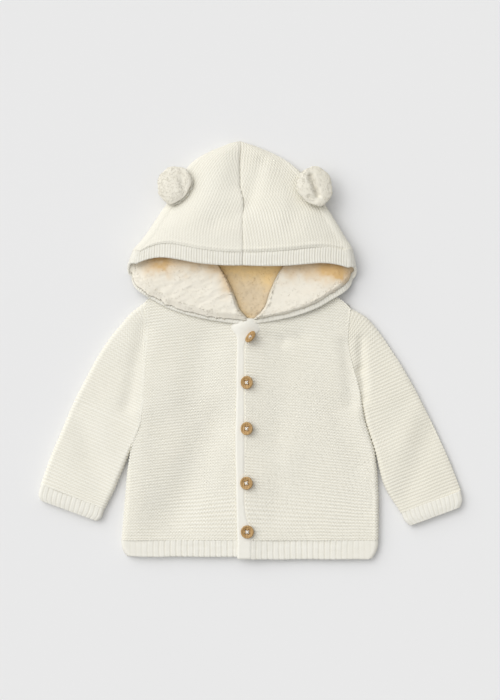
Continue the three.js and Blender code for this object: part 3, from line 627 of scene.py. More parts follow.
# Sleeves and cuffs are flattened tubes. Their rows follow the knitted ridges, which fan out at
# the armhole: outer end, inner end, height, how round the inner end is (1 a fold, 0 a seam)
sleeveRidges = {
    "left": [
        (-114, 57, -114, 31, 9.2, 0.1), (-134, 41.5, -114.8, 17, 9.4, 0.1),
        (-144, 30, -115.7, 2, 9.5, 0.1), (-155, 17.1, -116.5, -10, 9.6, 0.1),
        (-164, 4, -117.4, -23, 9.7, 0.1), (-172.1, -8.6, -118.4, -38, 9.7, 0.12),
        (-181, -25, -119.4, -56, 9.8, 0.12), (-189.4, -41.2, -121, -72, 9.9, 0.12),
        (-198, -58, -125, -90, 10, 0.15), (-212, -91, -138.2, -122, 10, 0.8),
        (-224.5, -120.5, -152, -155.5, 9.8, 1), (-235.2, -151, -163.4, -178.4, 9.4, 1),
    ],
    "right": [
        (110, 48, 107, 22, 9.2, 0.12), (128, 38, 106.6, 10, 9.3, 0.12), (138, 28, 107.6, -2, 9.4, 0.12),
        (148, 15, 110.6, -13, 9.5, 0.12), (157, 1.5, 114, -23.5, 9.7, 0.14),
        (166, -12, 118.4, -36, 9.9, 0.25), (175, -27, 122.4, -50.2, 10, 0.6),
        (183.5, -42, 126, -64.7, 10, 1), (192, -58.5, 130.4, -84, 10, 1),
        (205.6, -86, 139.9, -114, 10, 1), (222.8, -123.6, 150, -152, 9.8, 1),
        (236.3, -157.8, 169, -183.2, 9.4, 1),
    ],
}
# The sleeves' "tone" is painted shade: the right sleeve's low level paints it darker, as if turned from
# the light
sleeve = {"ridge": 3.6, "ridged": 0.5, "top": 76, "arc": 10, "bottom": 16,
          "rise": {"left": 0.95, "right": 0.8}, "contrast": {"left": 0.6, "right": 0.5},
          "tone": {"left": 0.62, "right": 0.22}}
sleeveCreases = creases + [
    (-116, 56, -121, -84, 4, 0.2), (111, 44, 108.5, 8, 3, 0.15), (108.5, 8, 116, -24, 3, 0.25),
    (121.5, 0, 122.6, -22, 6, 1.6), (122.6, -22, 127, -54, 5, 3),
]


# The section of a flattened tube: along the top from start to end, round an elliptic end, back
# along the bottom and round the other end. Gives the way across and the height from -1 to 1,
# with as many columns as a closed shell can have.
def flatSection(start, end, startRadius, endRadius, sizes):
    top, low = evenly(sizes["top"]), evenly(sizes["bottom"])
    turn = np.pi * (0.5 - evenly(sizes["arc"])[:, 1:-1])
    across = beside(lerp(start, end, top), end + endRadius * np.cos(turn), lerp(end, start, low),
                    start - startRadius * np.cos(turn))
    heights = beside(1 + 0 * top, np.sin(turn), 0 * low - 1, -np.sin(turn))
    count = across.shape[1] // step * step
    return across[:, :count], heights[:, :count]


# Rows of a flattened tube on the table. Returns the grid and the way across in millimetres.
def flatRings(rows, sizes):
    outX, outY, inX, inY, height, roundness = (rows[:, k:k + 1] for k in range(6))
    length = np.hypot(inX - outX, inY - outY)
    outEnd, inEnd = height / 2, np.maximum(height / 2 * roundness, 0.4)
    d, heights = flatSection(outEnd, length - inEnd, outEnd, inEnd, sizes)
    u = d / length
    return pointGrid(lerp(outX, inX, u), lerp(outY, inY, u), height / 2 * (1 + heights)), d


# How far a knit is pushed out, and its tone, which is painted shade: the relief its colour reads is drawn
# towards a level per side, and a lower level paints more furrow shade. It sinks in where it lies on the
# table, below "low"
def pushAndShadeLevel(sizes, side, z, relief, low):
    level = lerp(0.5, back["sunk"], smooth((low - z) / low))
    push = (relief - level) * sizes["rise"][side]
    return push, lerp(sizes["tone"][side], relief, sizes["contrast"][side])


def sleeveTube(side):
    table = np.array(sleeveRidges[side], float)
    gaps = np.diff(table, axis=0)
    spans = (np.hypot(gaps[:, 0], gaps[:, 1]) + np.hypot(gaps[:, 2], gaps[:, 3])) / 2
    ridges = round(spans.sum() / sleeve["ridge"])
    rows = evenRows(table, spans, ridges * 4)
    grid, d = flatRings(rows, sleeve)
    x, y, z = grid[..., 0], grid[..., 1], grid[..., 2]
    skyward = smooth((z / rows[:, 4:5] - 0.5) * 2)
    z -= skyward * (creaseDepth(x, y, sleeveCreases) - 0.6 * softNoise(x, y, 30, 21))
    u, v = d / knitSizes["stitch"], evenly(ridges * 4).T * ridges + 0 * d
    relief = garterRelief(u, v, 23, 0.5, sleeve["ridged"])
    push, tone = pushAndShadeLevel(sleeve, side, z, relief, 2)
    return knitLayer(labels("sleeve", side), grid, push, (u, v, tone), "knit", 0.9, closed=True)


for side in sides:
    sleeveTube(side)
print("sleeves made")

cuffRows = {
    "left": [(-235.4, -150.2, -163.1, -177.7, 9.3, 1), (-238.1, -162, -166.4, -187.5, 9.4, 1),
             (-236, -168.4, -171, -192.2, 8.4, 1)],
    "right": [(236.3, -157.1, 168.7, -182.6, 9.3, 1), (238.1, -168, 172.6, -191.6, 9.4, 1),
              (236.2, -176, 178.6, -197.2, 8.4, 1)],
}
cuff = {"rows": 20, "top": 104, "arc": 14, "bottom": 46, "ribs": 13, "length": 18}


def cuffTube(side):
    rows = curveRows(cuffRows[side], evenly(cuff["rows"])[0] * 2)
    grid, d = flatRings(rows, cuff)
    width = np.hypot(rows[:, 2] - rows[:, 0], rows[:, 3] - rows[:, 1])[:, None]
    u = d / width * (cuff["ribs"] + 1)
    v = evenly(cuff["rows"]).T * cuff["length"] / ribSizes["stitch"] + 0 * u
    relief = ribRelief(u, v, 31)
    push = (relief - 0.95) * ribSizes["rise"] * 1.2
    return knitLayer(labels("cuff", side), grid, push, (u, v, relief), "rib", closed=True)


for side in sides:
    cuffTube(side)
print("cuffs made")


# Ribbed hem: each front's strip with a turned side and a rounded free edge, and the back's
hem = {
    "top": -212.6, "bottom": {"left": -230.4, "right": -233.2}, "corner": 7, "pitch": 6.4,
    "height": 9.2, "overHeight": 12.3, "side": {"left": -144.8, "right": 143.6},
    "middle": {"left": -11, "right": 1.8}, "rows": 16, "columns": 192, "foldColumns": 8,
}
backHem = {"rows": 8, "columns": 228, "foldColumns": 4}


def hemFront(side):
    drop = evenly(hem["rows"])[:, ::-1].T
    y = lerp(hem["top"], hem["bottom"][side], drop)
    cut = hem["corner"] * drop**2.4
    edge, height = hem["side"][side], hem["height"]
    outs, rises = edgeProfile(height, 1, evenly(hem["foldColumns"]))
    share = evenly(hem["columns"])[:, 1:]
    width = abs(edge - hem["middle"][side]) - cut
    inward = beside(outs + 0 * drop, lerp(height / 2, width, share))
    endHeight = height if side == "left" else hem["overHeight"]
    z = beside(height / 2 + rises, lerp(height, endHeight, share**8)) - 0.12
    x = edge - signs[side] * (inward + cut)
    u, v = x / hem["pitch"], (y + 0 * x) / ribSizes["stitch"]
    relief = lerp(0.75, ribRelief(u, v, 37), 0.35 + 0.65 * smooth((inward - 4) / 50))
    return knitLayer(labels("hem", side), pointGrid(x, y + 0.35 * softNoise(x, 0, 17, 39), z),
                     (relief - 0.75) * ribSizes["rise"] * 1.15, (u, v, relief), "rib", 0.9, lip=True)


def hemBack():
    drop = evenly(backHem["rows"])[:, ::-1].T
    y = lerp(hem["top"], (hem["bottom"]["left"] + hem["bottom"]["right"]) / 2, drop)
    cut = hem["corner"] * drop**3
    left, right = hem["side"]["left"] + cut, hem["side"]["right"] - cut
    x, z = flatBack(left, right, hem["height"], 1, backHem)
    grid = pointGrid(x, y, z)[:, :(x.shape[1] - 1) // step * step + 1]
    u, v = grid[..., 0] / hem["pitch"], grid[..., 1] / ribSizes["stitch"]
    relief = ribRelief(u, v, 41)
    push = (relief - 1.1) * ribSizes["rise"]
    return knitLayer(("hemBack", "hem_back"), grid, push, (u, v, relief), "rib", faceUp=False)


for side in sides:
    hemFront(side)
hemBack()
print("hems made")


# Button bands: a flat strip with round edges, its outline carried up the front
bands = {
    "under": {"left": -10.7, "right": 3.2, "bottom": -230.4, "top": 25.6, "z": 5.6, "bow": 0},
    "top": {"left": -14.6, "right": 3.2, "bottom": -234.1, "top": 35.6, "z": 9.7, "bow": 2},
}
bandSizes = {"thick": 3.2, "rows": 220, "top": 16, "arc": 6, "bottom": 6, "end": 0.006,
             "loopWidth": 1.6, "loopHeight": 1.9, "loopRise": 0.1}
# The top of the upper band spreads and rises over the ends of the hood's edging: height up the
# front, how far its left and right edge move, how far it rises
bandNeck = [(12, 0, 0, 0), (16, -1, 1.6, 0.2), (19, -3, 4.6, 0.8), (22, -5.4, 7.6, 1.6),
            (25, -7, 9.4, 2.4), (28, -7, 9.4, 2.8), (30, -5, 8.6, 2.8), (31.8, -3, 7.4, 2.5),
            (33.4, -0.5, 6, 2.1), (34.8, 3.5, 3.6, 1.7), (35.6, 8, 0, 1.3)]


def buttonBand(which):
    band, r, upper = bands[which], bandSizes["thick"] / 2, which == "top"
    along = evenly(bandSizes["rows"]).T
    y = lerp(band["bottom"], band["top"], along)
    near = np.minimum(along, 1 - along) / bandSizes["end"]
    ends = np.where(near < 1, np.sqrt(np.clip(1 - (1 - near) ** 2, 0, 1)), 1)
    tuck = (1 - ends) * r
    neckY, *moves = np.array(bandNeck).T
    spreadLeft, spreadRight, lift = (np.interp(y, neckY, move * upper) for move in moves)
    swing = band["bow"] * np.sin(np.pi * along) ** 2 + 0.5 * softNoise(y, 0, 24, 47)
    left, right = band["left"] - swing + tuck + spreadLeft, band["right"] - tuck + spreadRight
    x, heights = flatSection(left + r, right - r, r, r, bandSizes)
    z = r * np.maximum(ends, 0.25) * heights
    # right of the smooth strip the upper band is thin, and the right front's knit covers it
    under = smooth((x - lineAt(middleLines["right"], y) + 2.5) / 3) * (1 - smooth((y - 10) / 8))
    z = np.where(z > 0, z * (1 - 0.8 * under * upper), z) + band["z"] + r
    middle, half = (left + right) / 2, np.maximum(right - left, 1) / 2
    z = z + 0.2 * softNoise(x, y, 14, 43) * (z > band["z"] + r)
    z = z + lift * (1 - 1.9 * ((x - middle) / half) ** 2)
    grid = pointGrid(x, y, z)
    u, v = x / bandSizes["loopWidth"], (y + 0 * x) / bandSizes["loopHeight"]
    relief = 0.5 + 0.5 * np.sin(np.pi * u) * np.cos(np.pi * v)
    push = (relief - 0.5) * bandSizes["loopRise"]
    outer = grid + gridNormals(grid, closed=True) * push[..., None]
    centre = grid.mean(axis=1, keepdims=True)
    inner = (centre + (grid - centre) * [0.8, 1, 0.25])[::step, ::step]
    label = ("bandTop", "button_band") if upper else ("bandUnder", "button_band_under")
    return clothShell(label, outer, inner, (u, v, relief + 0.5), "band", closed=True)


buttonBand("under")
buttonBand("top")
print("bands made")


# Hood: each row starts at the top seam, runs out to the side fold and back under to the neck
hoodKeys = ("topY", "bend", "foldX", "foldY", "turnX", "turnY", "endX", "endY", "topZ", "puff",
            "foldZ", "foldH", "restZ", "rise", "endZ")
hoodSeamX = -8.3
hoodRows = {
    "left": [
        (95.5, 8.5, -136, 94, -128, 42, -6, 30, 31, 1, 5, 19.6, 10.4, 0.3, 10.6),
        (109.2, 9.5, -131, 109, -118, 58, -18.5, 47, 31.5, 1, 5, 19.6, 10.4, 0.35, 10.8),
        (122, 7, -121, 122.5, -98, 84, -25, 68, 31, 1.5, 4, 19.8, 10.2, 0.5, 10.6),
        (137, 5, -112, 136, -82, 108, -34, 89, 29.5, 2, 3, 19.8, 10, 0.8, 10),
        (152, 3, -101, 153, -72, 128, -42.5, 103, 27, 2.5, 1, 19.4, 9.6, 1, 9.6),
        (167, 2, -92, 166, -60, 132, -33, 98.9, 23.5, 3.5, 0, 17, 0, 1, 0),
        (182, 0, -84.5, 180.5, -50, 140, -8.3, 88, 19, 4.5, 0, 15.5, 0, 1, 0),
        (197, 0, -76, 197, -45, 160, -8.3, 125, 16, 4.5, 0, 14, 0, 1, 0),
        (211, 0, -63.5, 211.8, -36, 190, -8.3, 165, 14, 3.5, 0, 12.5, 0, 1, 0),
        (223, 0, -45, 222.6, -26, 212, -8.3, 200, 12.5, 2, 0, 11, 0, 1, 0),
        (234, 0, -21, 231.7, -14, 232.6, -8.3, 233.6, 8.9, 0, 0, 8.8, 0, 1, 0),
    ],
    "right": [
        (95.5, 5, 117.5, 91, 104, 43, 3, 30, 31, 1, 5, 19.6, 12.6, 0.3, 10.6),
        (109.2, 4.5, 113.5, 111, 96, 62, 19.5, 47, 31.5, 1, 5, 19.6, 12.2, 0.35, 10.8),
        (122, 4, 106, 125, 84, 86, 26, 68, 31, 1.5, 4, 19.8, 10.2, 0.5, 10.6),
        (137, 3, 98.5, 138.5, 72, 110, 34, 88, 29.5, 2, 3, 19.8, 10, 0.8, 10),
        (152, 2, 88.5, 155, 64, 130, 43.5, 103, 27, 2.5, 1, 19.4, 9.6, 1, 9.6),
        (167, 1, 80, 167.5, 54, 134, 34, 98.9, 23.5, 3.5, 0, 17, 0, 1, 0),
        (182, 0, 71, 180, 44, 142, -8.3, 88, 19, 4, 0, 15.5, 0, 1, 0),
        (197, 0, 61, 193.5, 36, 160, -8.3, 125, 16, 4, 0, 14, 0, 1, 0),
        (211, 0, 50, 204.8, 26, 188, -8.3, 165, 14, 3, 0, 12.5, 0, 1, 0),
        (223, 0, 33, 216.6, 14, 210, -8.3, 200, 12.5, 2, 0, 11, 0, 1, 0),
        (234, 0, 8, 228.4, 0, 231, -8.3, 233.6, 8.9, 0, 0, 8.8, 0, 1, 0),
    ],
}
hoodCreases = {
    "left": [(-9, 222, -9, 166, 9, -0.3), (-12, 152, -38, 143, 10, 1), (-30, 200, -60, 150, 16, -1)],
    "right": [(-2, 222, -2, 166, 12, 0.9), (13, 212, -2, 160, 8, 1.9), (36, 208, 17, 158, 20, 1.6),
              (62, 190, 46, 140, 12, 1.3), (20, 226, 120, 108, 24, 2.2)],
}
hoodCorner = {"out": 6, "down": 7, "up": {"left": 6.5, "right": 5}}
hoodSeam = {"depth": 0.8, "width": 1.7, "rowLength": 13.5, "rib": {"left": 0.1, "right": 0.6},
            "sway": -3.4, "swayFrom": 166, "swayBy": 22, "swayWidth": 22, "wander": 0.5}


# The hood's surface at rows "at" and a depth below its outer face: over the top, round the
# side fold by a half circle and back along a bent path under it
def hoodGrid(side, at, depth, tops, arcs, unders):
    values = curveRows(hoodRows[side], at)
    row = {key: values[:, k:k + 1] for k, key in enumerate(hoodKeys)}
    for key in ("foldZ", "restZ", "endZ"):
        row[key] = np.maximum(row[key], 0)
    row["rise"] = np.clip(row["rise"], 0.3, 1)
    sign = signs[side]
    endX = sign * np.maximum(sign * row["endX"], sign * hoodSeamX)
    inX = (hoodSeamX + row["turnX"]) / 2 - row["foldX"]
    inY = (row["topY"] + row["turnY"]) / 2 - row["foldY"]
    reach = np.hypot(inX, inY)
    outX, outY = -inX / reach, -inY / reach
    radius = row["foldH"] / 2
    hingeX, hingeY = row["foldX"] - outX * radius, row["foldY"] - outY * radius
    a = tops[None, :]
    x = lerp(hoodSeamX, hingeX, a)
    y = lerp(row["topY"], hingeY, a) + row["bend"] * np.sin(np.pi * a * a)
    z = row["topZ"] - (row["topZ"] - row["foldZ"] - row["foldH"]) * a**3
    z = z + row["puff"] * np.sin(np.pi * a) - depth
    angle = (0.5 - arcs[None, :]) * np.pi
    r = radius - depth
    arcX, arcY = hingeX + outX * r * np.cos(angle), hingeY + outY * r * np.cos(angle)
    arcZ = row["foldZ"] + radius + r * np.sin(angle)
    b = unders[None, :]
    climb = (row["restZ"] - row["foldZ"]) * smooth(b / row["rise"])
    last = (row["endZ"] - row["restZ"]) * smooth((b - 0.6) / 0.4)
    lowZ = row["foldZ"] + climb + last + depth
    lowX = (1 - b) ** 2 * hingeX + 2 * b * (1 - b) * row["turnX"] + b * b * endX
    lowY = (1 - b) ** 2 * hingeY + 2 * b * (1 - b) * row["turnY"] + b * b * row["endY"]
    # the mouth is wide open at its corners: near its edge the top rises there and the lower half
    # of the fold moves out and down
    fade = 1 - smooth(at[:, None] / 3)
    low = beside(0 * a, smooth((arcs[None, :] - 0.3) / 0.7), 1 - smooth(b / 0.45))
    high = beside(smooth((a - 0.6) / 0.4) * 0.5 + smooth((a - 0.4) / 0.4) * 0.5,
                  1 - smooth(arcs[None, :] / 0.9), 0 * b)
    shift = hoodCorner["up"][side] * high - hoodCorner["down"] * low
    grid = np.stack([beside(x, arcX, lowX) + sign * hoodCorner["out"] * low * fade,
                     beside(y, arcY, lowY) + shift * fade,
                     beside(z, arcZ, lowZ)], axis=-1)
    groove = hoodSeam["depth"] * np.exp(-(((x - hoodSeamX) / hoodSeam["width"]) ** 2))
    # the seam bends to the left near the crown
    near = np.exp(-(((grid[..., 0] - hoodSeamX) / hoodSeam["swayWidth"]) ** 2))
    sway = hoodSeam["sway"] * smooth((grid[..., 1] - hoodSeam["swayFrom"]) / hoodSeam["swayBy"])
    grid[..., 0] += near * (sway + hoodSeam["wander"] * softNoise(grid[..., 1], 0, 9, 67))
    ribLine = (at[:, None] - 1) * hoodSeam["rowLength"] / hoodSeam["width"]
    welt = 0.7 * np.exp(-((ribLine - 1.7) ** 2)) - hoodSeam["rib"][side] * np.exp(-(ribLine**2))
    grid[:, :len(tops), 2] += welt - groove
    return grid, row


def wayAcross(grid):
    gaps = np.linalg.norm(np.diff(grid, axis=1), axis=2)
    return beside(np.zeros((len(grid), 1)), np.cumsum(gaps, axis=1))


def hoodShares(sizes):
    tops, arcs, unders = (evenly(sizes[key])[0] for key in ("tops", "arcs", "unders"))
    return tops, arcs[1:-1], unders * sizes.get("over", 1)


# The hood's "tone" is painted shade too: the right half is painted a little darker
hood = {"rows": 116, "tops": 152, "arcs": 26, "unders": 55, "lean": 0.004018,
        "rise": {"left": 0.7, "right": 0.95}, "contrast": {"left": 0.4, "right": 0.6},
        "ridged": {"left": 0.32, "right": 0.38}, "tone": {"left": 0.5, "right": 0.42}}


def hoodHalf(side):
    tops, arcs, unders = hoodShares(hood)
    grid, row = hoodGrid(side, np.linspace(0.95, 10, hood["rows"] + 1), 0, tops, arcs, unders)
    grid = grid[:, :(grid.shape[1] - 1) // step * step + 1]
    x, y, z = grid[..., 0], grid[..., 1], grid[..., 2]
    # creases press the top in full and fade out round the side fold
    share = stacked(0 * tops + 1, 1 - smooth(arcs * 1.4), 0 * unders)[:grid.shape[1]]
    z -= creaseDepth(x, y, hoodCreases[side]) * share
    z += 0.4 * softNoise(x, y, 24, 51) * (z > 14)
    across = wayAcross(grid)
    v = (across + hood["lean"] * (row["topY"] - 109.2) ** 2) / knitSizes["ridge"] - 0.4
    u = (row["topY"] + 0 * across) / knitSizes["stitch"]
    relief = garterRelief(u, v, 53 if side == "left" else 57, 0.5, hood["ridged"][side])
    push, tone = pushAndShadeLevel(hood, side, z, relief, 3)
    return knitLayer(labels("hood", side), grid, push, (u, v, tone), "knit", 0.95)


for side in sides:
    hoodHalf(side)
print("hood made")


# A closed strip: rows go round its section, columns along it, and both ends are capped
def stripPiece(label, grid, u, v, relief, finish):
    rows, cols = grid.shape[:2]
    at = wrap(np.arange(rows * cols).reshape(rows, cols).T).T
    centres = np.stack([grid[:, 0].mean(axis=0), grid[:, -1].mean(axis=0)])
    first, last = np.full(rows, rows * cols), np.full(rows, rows * cols + 1)
    tris = stacked(np.stack([at[:-1, 0], at[1:, 0], first], axis=-1),
                   np.stack([at[1:, -1], at[:-1, -1], last], axis=-1))
    points = stacked(grid.reshape(-1, 3), centres)
    uv = np.stack([u, v], axis=-1)
    uvs = stacked(uv.reshape(-1, 2), uv[:1, 0], uv[:1, -1])
    reliefs = stacked(relief.ravel(), [0, 0])
    return makePiece(label, points, gridFaces(at), tris, finish, uvs, reliefs)


hoodRib = {"rows": 14, "lip": 5, "tops": 184, "arcs": 24, "unders": 156, "pitch": 6.0}


# Edging of the mouth: ribbed on both faces, with a round free edge between them
def hoodEdging(side):
    shares, rows = hoodShares(hoodRib), np.arange(hoodRib["rows"] + 1)
    at = evenly(hoodRib["rows"])[0]
    face, row = hoodGrid(side, at, seamGap, *shares)
    under = hoodGrid(side, at, seamGap + ribSizes["wall"], *shares)[0]
    u = wayAcross(face) / hoodRib["pitch"]
    v = row["topY"] / ribSizes["stitch"] + 0 * u
    relief = ribRelief(u, v, 61, 0.75)
    push = gridNormals(face) * ((relief - 0.75) * ribSizes["rise"] * 1.6)[..., None]
    outer, inner = face + push, under - push * 0.8
    centre, half = (outer[0] + inner[0]) / 2, (outer[0] - inner[0]) / 2
    turn = (np.pi * np.arange(1, hoodRib["lip"] + 1) / (hoodRib["lip"] + 1))[:, None, None]
    reach = unit(outer[0] - outer[1]) * ribSizes["wall"] / 2
    grid = stacked(outer[::-1], centre + half * np.cos(turn) + reach * np.sin(turn), inner)
    order = stacked(rows[::-1], np.zeros(hoodRib["lip"], int), rows)
    return stripPiece(labels("hoodRib", side), grid, u[order], v[order], relief[order], "rib")


for side in sides:
    hoodEdging(side)
print("hood edging made")


# One plush curl: a thin tube on a hooked path that rises, bends over and ends inside the pile
def curlShape(turns, rings, sections):
    t = evenly(rings - 1)[0]
    angle = turns * 2 * np.pi * t
    reach = 0.9 - 0.5 * t
    path = pointGrid(reach * np.cos(angle), reach * np.sin(angle), 0.6 * np.sin(np.pi * (0.12 + 0.8 * t)))
    thick = 0.42 * (1 - 0.5 * t)
    tangent = unit(np.gradient(path, axis=0))
    side = unit(np.cross(tangent, [0, 0, 1]))
    lift = np.cross(side, tangent)
    turn = ringAngles(sections)[..., None]
    tube = path[:, None] + thick[:, None, None] * (np.cos(turn) * side[:, None]
                                                   + np.sin(turn) * lift[:, None])
    at = wrap(np.arange(rings * sections).reshape(rings, sections))
    caps = stacked(at[:1, sections - 1::-1], at[-1:, :sections])
    return tube.reshape(-1, 3), gridFaces(at), caps


# Curls joined in one mesh: each is turned about its place's normal, leant and scaled at random
def curlPile(name, places, normals, size, seed, finish, shade):
    rng = np.random.default_rng(seed)
    count = len(places)
    shape, sideFaces, caps = curlShape(0.85, 5, 3)
    up = unit(normals + rng.normal(0, 0.2, (count, 3)))
    side = unit(np.cross(up, rng.normal(0, 1, (count, 3))))
    scale = (size * rng.uniform(0.7, 1.35, count))[:, None, None]
    axes = np.stack([side, np.cross(up, side), up], axis=1)
    points = places[:, None] + np.einsum("mk,nkc->nmc", shape, axes) * scale
    starts = (np.arange(count) * len(shape))[:, None, None]
    quads, tris = (sideFaces[None] + starts).reshape(-1, 4), (caps[None] + starts).reshape(-1, 3)
    return makePiece((name, None), points.reshape(-1, 3), quads, tris, finish, None,
                     np.repeat(shade, len(shape)))


# Plush lumps from 0 to 1: two soft noises of different size added
def plushLumps(x, y, seed):
    return 0.5 + 0.32 * softNoise(x, y, 6.5, seed) + 0.18 * softNoise(x + 31, y, 3.1, seed + 1)


lining = {"depth": 4.1, "wall": 4, "rows": 64, "tops": 32, "arcs": 18, "unders": 139,
          "first": 0.36, "last": 3.7, "over": 1.035, "pile": {"left": 1.7, "right": 0.9},
          "curls": 2950, "fringe": 500, "curlSize": 0.95, "sunk": 0.82, "fringeSunk": 0.75,
          "roll": {"left": 5, "right": 1.8}, "edge": {"left": 0.25, "right": 0.1}}
# Where painted warm shade falls on the pile, under the hood's mouth: bells about a line, as creases are
warmShadePlaces = [(-112, 99, -44, 101, 13, 0.5), (-104, 99, -95, 96, 8, 0.5), (-36, 98, -24, 68, 8, 0.55),
              (36, 98, 106, 89, 15, 0.62), (84, 92, 98, 87, 9, 0.5)]
# painted warm shade on the nape, deepest under the hood's mouth
napeWarmShadePlaces = [(-34, 99, 36, 97, 19, 1.1), (-24, 74, -4, 34, 6, 0.4), (26, 90, 19, 76, 8, 0.45)]


def pileShade(x, y, places, seed):
    uneven = 5 * softNoise(x, y, 9, seed) + 3 * softNoise(x, y, 3, seed + 1)
    return np.clip(creaseDepth(x, y + uneven, places), 0, 1)


def hoodLining(side):
    shares = hoodShares(lining)
    at = np.linspace(lining["first"], lining["last"], lining["rows"] + 1)
    grid = hoodGrid(side, at, lining["depth"] + lining["wall"], *shares)[0]
    back, row = hoodGrid(side, at, lining["depth"], *shares)
    columns = grid.shape[1]
    across = wayAcross(back)
    lumps = plushLumps(across, row["topY"] * 1.4 + 0 * across, 71 if side == "left" else 73)
    pile = grid - gridNormals(back) * ((lumps - 0.5) * lining["pile"][side])[..., None]
    # the pile rolls down over the edging and over the edge of the neck's V
    low = len(shares[0]) + len(shares[1]) // 2
    start = smooth((at[:, None] - lining["first"]) / lining["edge"][side])
    end = np.ones((1, columns))
    end[0, -len(shares[2]):] = 1 - smooth((shares[2] - 1.013) / 0.022)
    pile = back + (pile - back) * np.minimum(0.1 + 0.9 * start, end)[..., None]
    for face in (pile, back):
        face[..., 2] -= 5 * (1 - end)
    out = unit((pile[:1] - pile[2:3]) * [1, 1, 0])
    reach = lining["roll"][side] * (0.4 + 0.9 * lumps[:1]) * (1 - start)
    pile += out * (reach * (np.arange(columns) >= low))[..., None]
    shade = pileShade(pile[..., 0], pile[..., 1], warmShadePlaces, 75)
    piece = clothShell(labels("lining", side), pile, back[::step, ::step],
                       (across, row["topY"] + 0 * across, shade), "plush")
    rng = np.random.default_rng(81 if side == "left" else 83)
    # curls all over the flap, and larger ones that hang over its lower edge and the V's edge
    count, fringe = lining["curls"], lining["fringe"]
    atEdge = rng.random(fringe) < 0.62
    r = stacked(rng.integers(1, lining["rows"], count),
                np.where(atEdge, rng.integers(0, 7, fringe), rng.integers(1, 52, fringe)))
    c = stacked(rng.integers(low, columns - 2, count),
                np.where(atEdge, rng.integers(low, columns - 1, fringe),
                         rng.integers(columns - 6, columns - 1, fringe)))
    inner = np.arange(count + fringe) < count
    up = -gridNormals(pile)[r, c]
    places = pile[r, c] - up * np.where(inner, lining["sunk"], lining["fringeSunk"])[:, None]
    size = lining["curlSize"] * np.where(inner, 1, 1.15)
    return piece, curlPile(f"curls{side.capitalize()}", places, up, size, 85 if side == "left" else 87,
                           "plush", shade[r, c])


for side in sides:
    base, curls = hoodLining(side)
print("lining made")

# Plush seen down the neck: height up the front, left and right edge
napeRows = [(29.5, -4, -2), (37, -7, 1), (46, -14.5, 12), (57, -20.5, 20), (70, -24.5, 25),
            (84, -29, 30), (96, -31, 32), (120, -31, 32), (142, -29, 28)]
nape = {"low": 4.3, "wall": 4, "rows": 88, "columns": 60, "pile": 1.5, "curls": 1300, "wider": 5,
        "sunk": 0.62, "curlSize": 0.85}


def napeLining():
    rows = curveRows(napeRows, evenly(nape["rows"])[0] * (len(napeRows) - 1))
    x = lerp(rows[:, 1:2] - nape["wider"], rows[:, 2:3] + nape["wider"], evenly(nape["columns"]))
    y = rows[:, :1] + 0 * x
    top = nape["low"] + nape["wall"] + (plushLumps(x, y, 91) - 0.4) * nape["pile"]
    pile, base = pointGrid(x, y, top), pointGrid(x, y, nape["low"])
    shade = pileShade(x, y, napeWarmShadePlaces, 97)
    piece = clothShell(("liningNape", "lining_back"), pile, base[::step, ::step], (x, y, shade), "nape")
    rng = np.random.default_rng(93)
    r = rng.integers(1, nape["rows"], nape["curls"])
    c = rng.integers(5, nape["columns"] - 5, nape["curls"])
    up = np.tile([0.0, 0, 1], (nape["curls"], 1))
    return piece, curlPile("curlsNape", pile[r, c] - up * nape["sunk"], up, nape["curlSize"], 95,
                           "nape", shade[r, c])


base, curls = napeLining()
print("nape made")


# Closed surface of rings about an axis: the first and last ring close in a single point
def ringPiece(label, grid, finish, *yarn):
    rings, sections = grid.shape[:2]
    at = wrap(1 + np.arange((rings - 2) * sections).reshape(rings - 2, sections))
    last = 1 + (rings - 2) * sections
    tips = np.stack([np.zeros(sections, int), at[0, 1:], at[0, :-1]], axis=-1)
    tails = np.stack([np.full(sections, last), at[-1, :-1], at[-1, 1:]], axis=-1)
    points, *yarn = (stacked(part[0, :1], part[1:-1].reshape(-1, *part.shape[2:]), part[-1, :1])
                     for part in (grid, *yarn))
    return makePiece(label, points, gridFaces(at), stacked(tips, tails), finish, *yarn)


ears = {
    "left": {"x": -85, "y": 184, "wide": 18.6, "tall": 21, "z": 17.5, "tiltX": 0.1, "tiltY": -0.1,
             "lean": 0.12, "seed": 101, "peek": (1.4, -1.2), "folds": [(-76, 196, -72, 168, 5, 2)]},
    "right": {"x": 72, "y": 182, "wide": 19.4, "tall": 22, "z": 18.8, "tiltX": -0.1,
              "tiltY": -0.1, "lean": -0.1, "seed": 105, "peek": (0, 0),
              "folds": [(67, 193, 75, 172, 3.2, 4.5), (65, 169, 71, 166, 3, 2.5)]},
}
earSizes = {"rings": 30, "sections": 96, "backRings": 24, "backSections": 72, "backWall": 2.6,
            "pile": 2.4, "dome": 4.4, "lumps": 0.8, "curls": 900, "curlSize": 0.9, "sunk": 0.65}


# Points of an ear: share 0 at its middle to 1 at its rim, angle round it, height above its foot
def earPoints(ear, share, angle, z):
    outline = 1 + 0.03 * np.sin(3 * angle + ear["seed"]) + 0.02 * np.sin(7 * angle + ear["seed"])
    u, v = share * outline * np.cos(angle), share * outline * np.sin(angle)
    foot = 1 - 0.12 * np.clip(-v, 0, 1) ** 2
    x = ear["x"] + ear["wide"] * u * foot + ear["lean"] * ear["tall"] * v
    y = ear["y"] + ear["tall"] * v
    return pointGrid(x, y, ear["z"] + ear["tiltX"] * (x - ear["x"]) + ear["tiltY"] * (y - ear["y"]) + z)


# The plush face of an ear: a lumpy dome with folds pressed into it
def earFace(ear, share, angle, lift):
    dome = earSizes["pile"] + earSizes["dome"] * np.sqrt(1 - share**2 * 0.96)
    face = earPoints(ear, share, angle, earSizes["backWall"] + seamGap + dome + lift)
    x, y = face[..., 0], face[..., 1]
    face[..., 2] -= creaseDepth(x, y, ear["folds"]) * (1 - share**4)
    face[..., 2] += (plushLumps(x, y, ear["seed"]) - 0.5) * earSizes["lumps"]
    return face


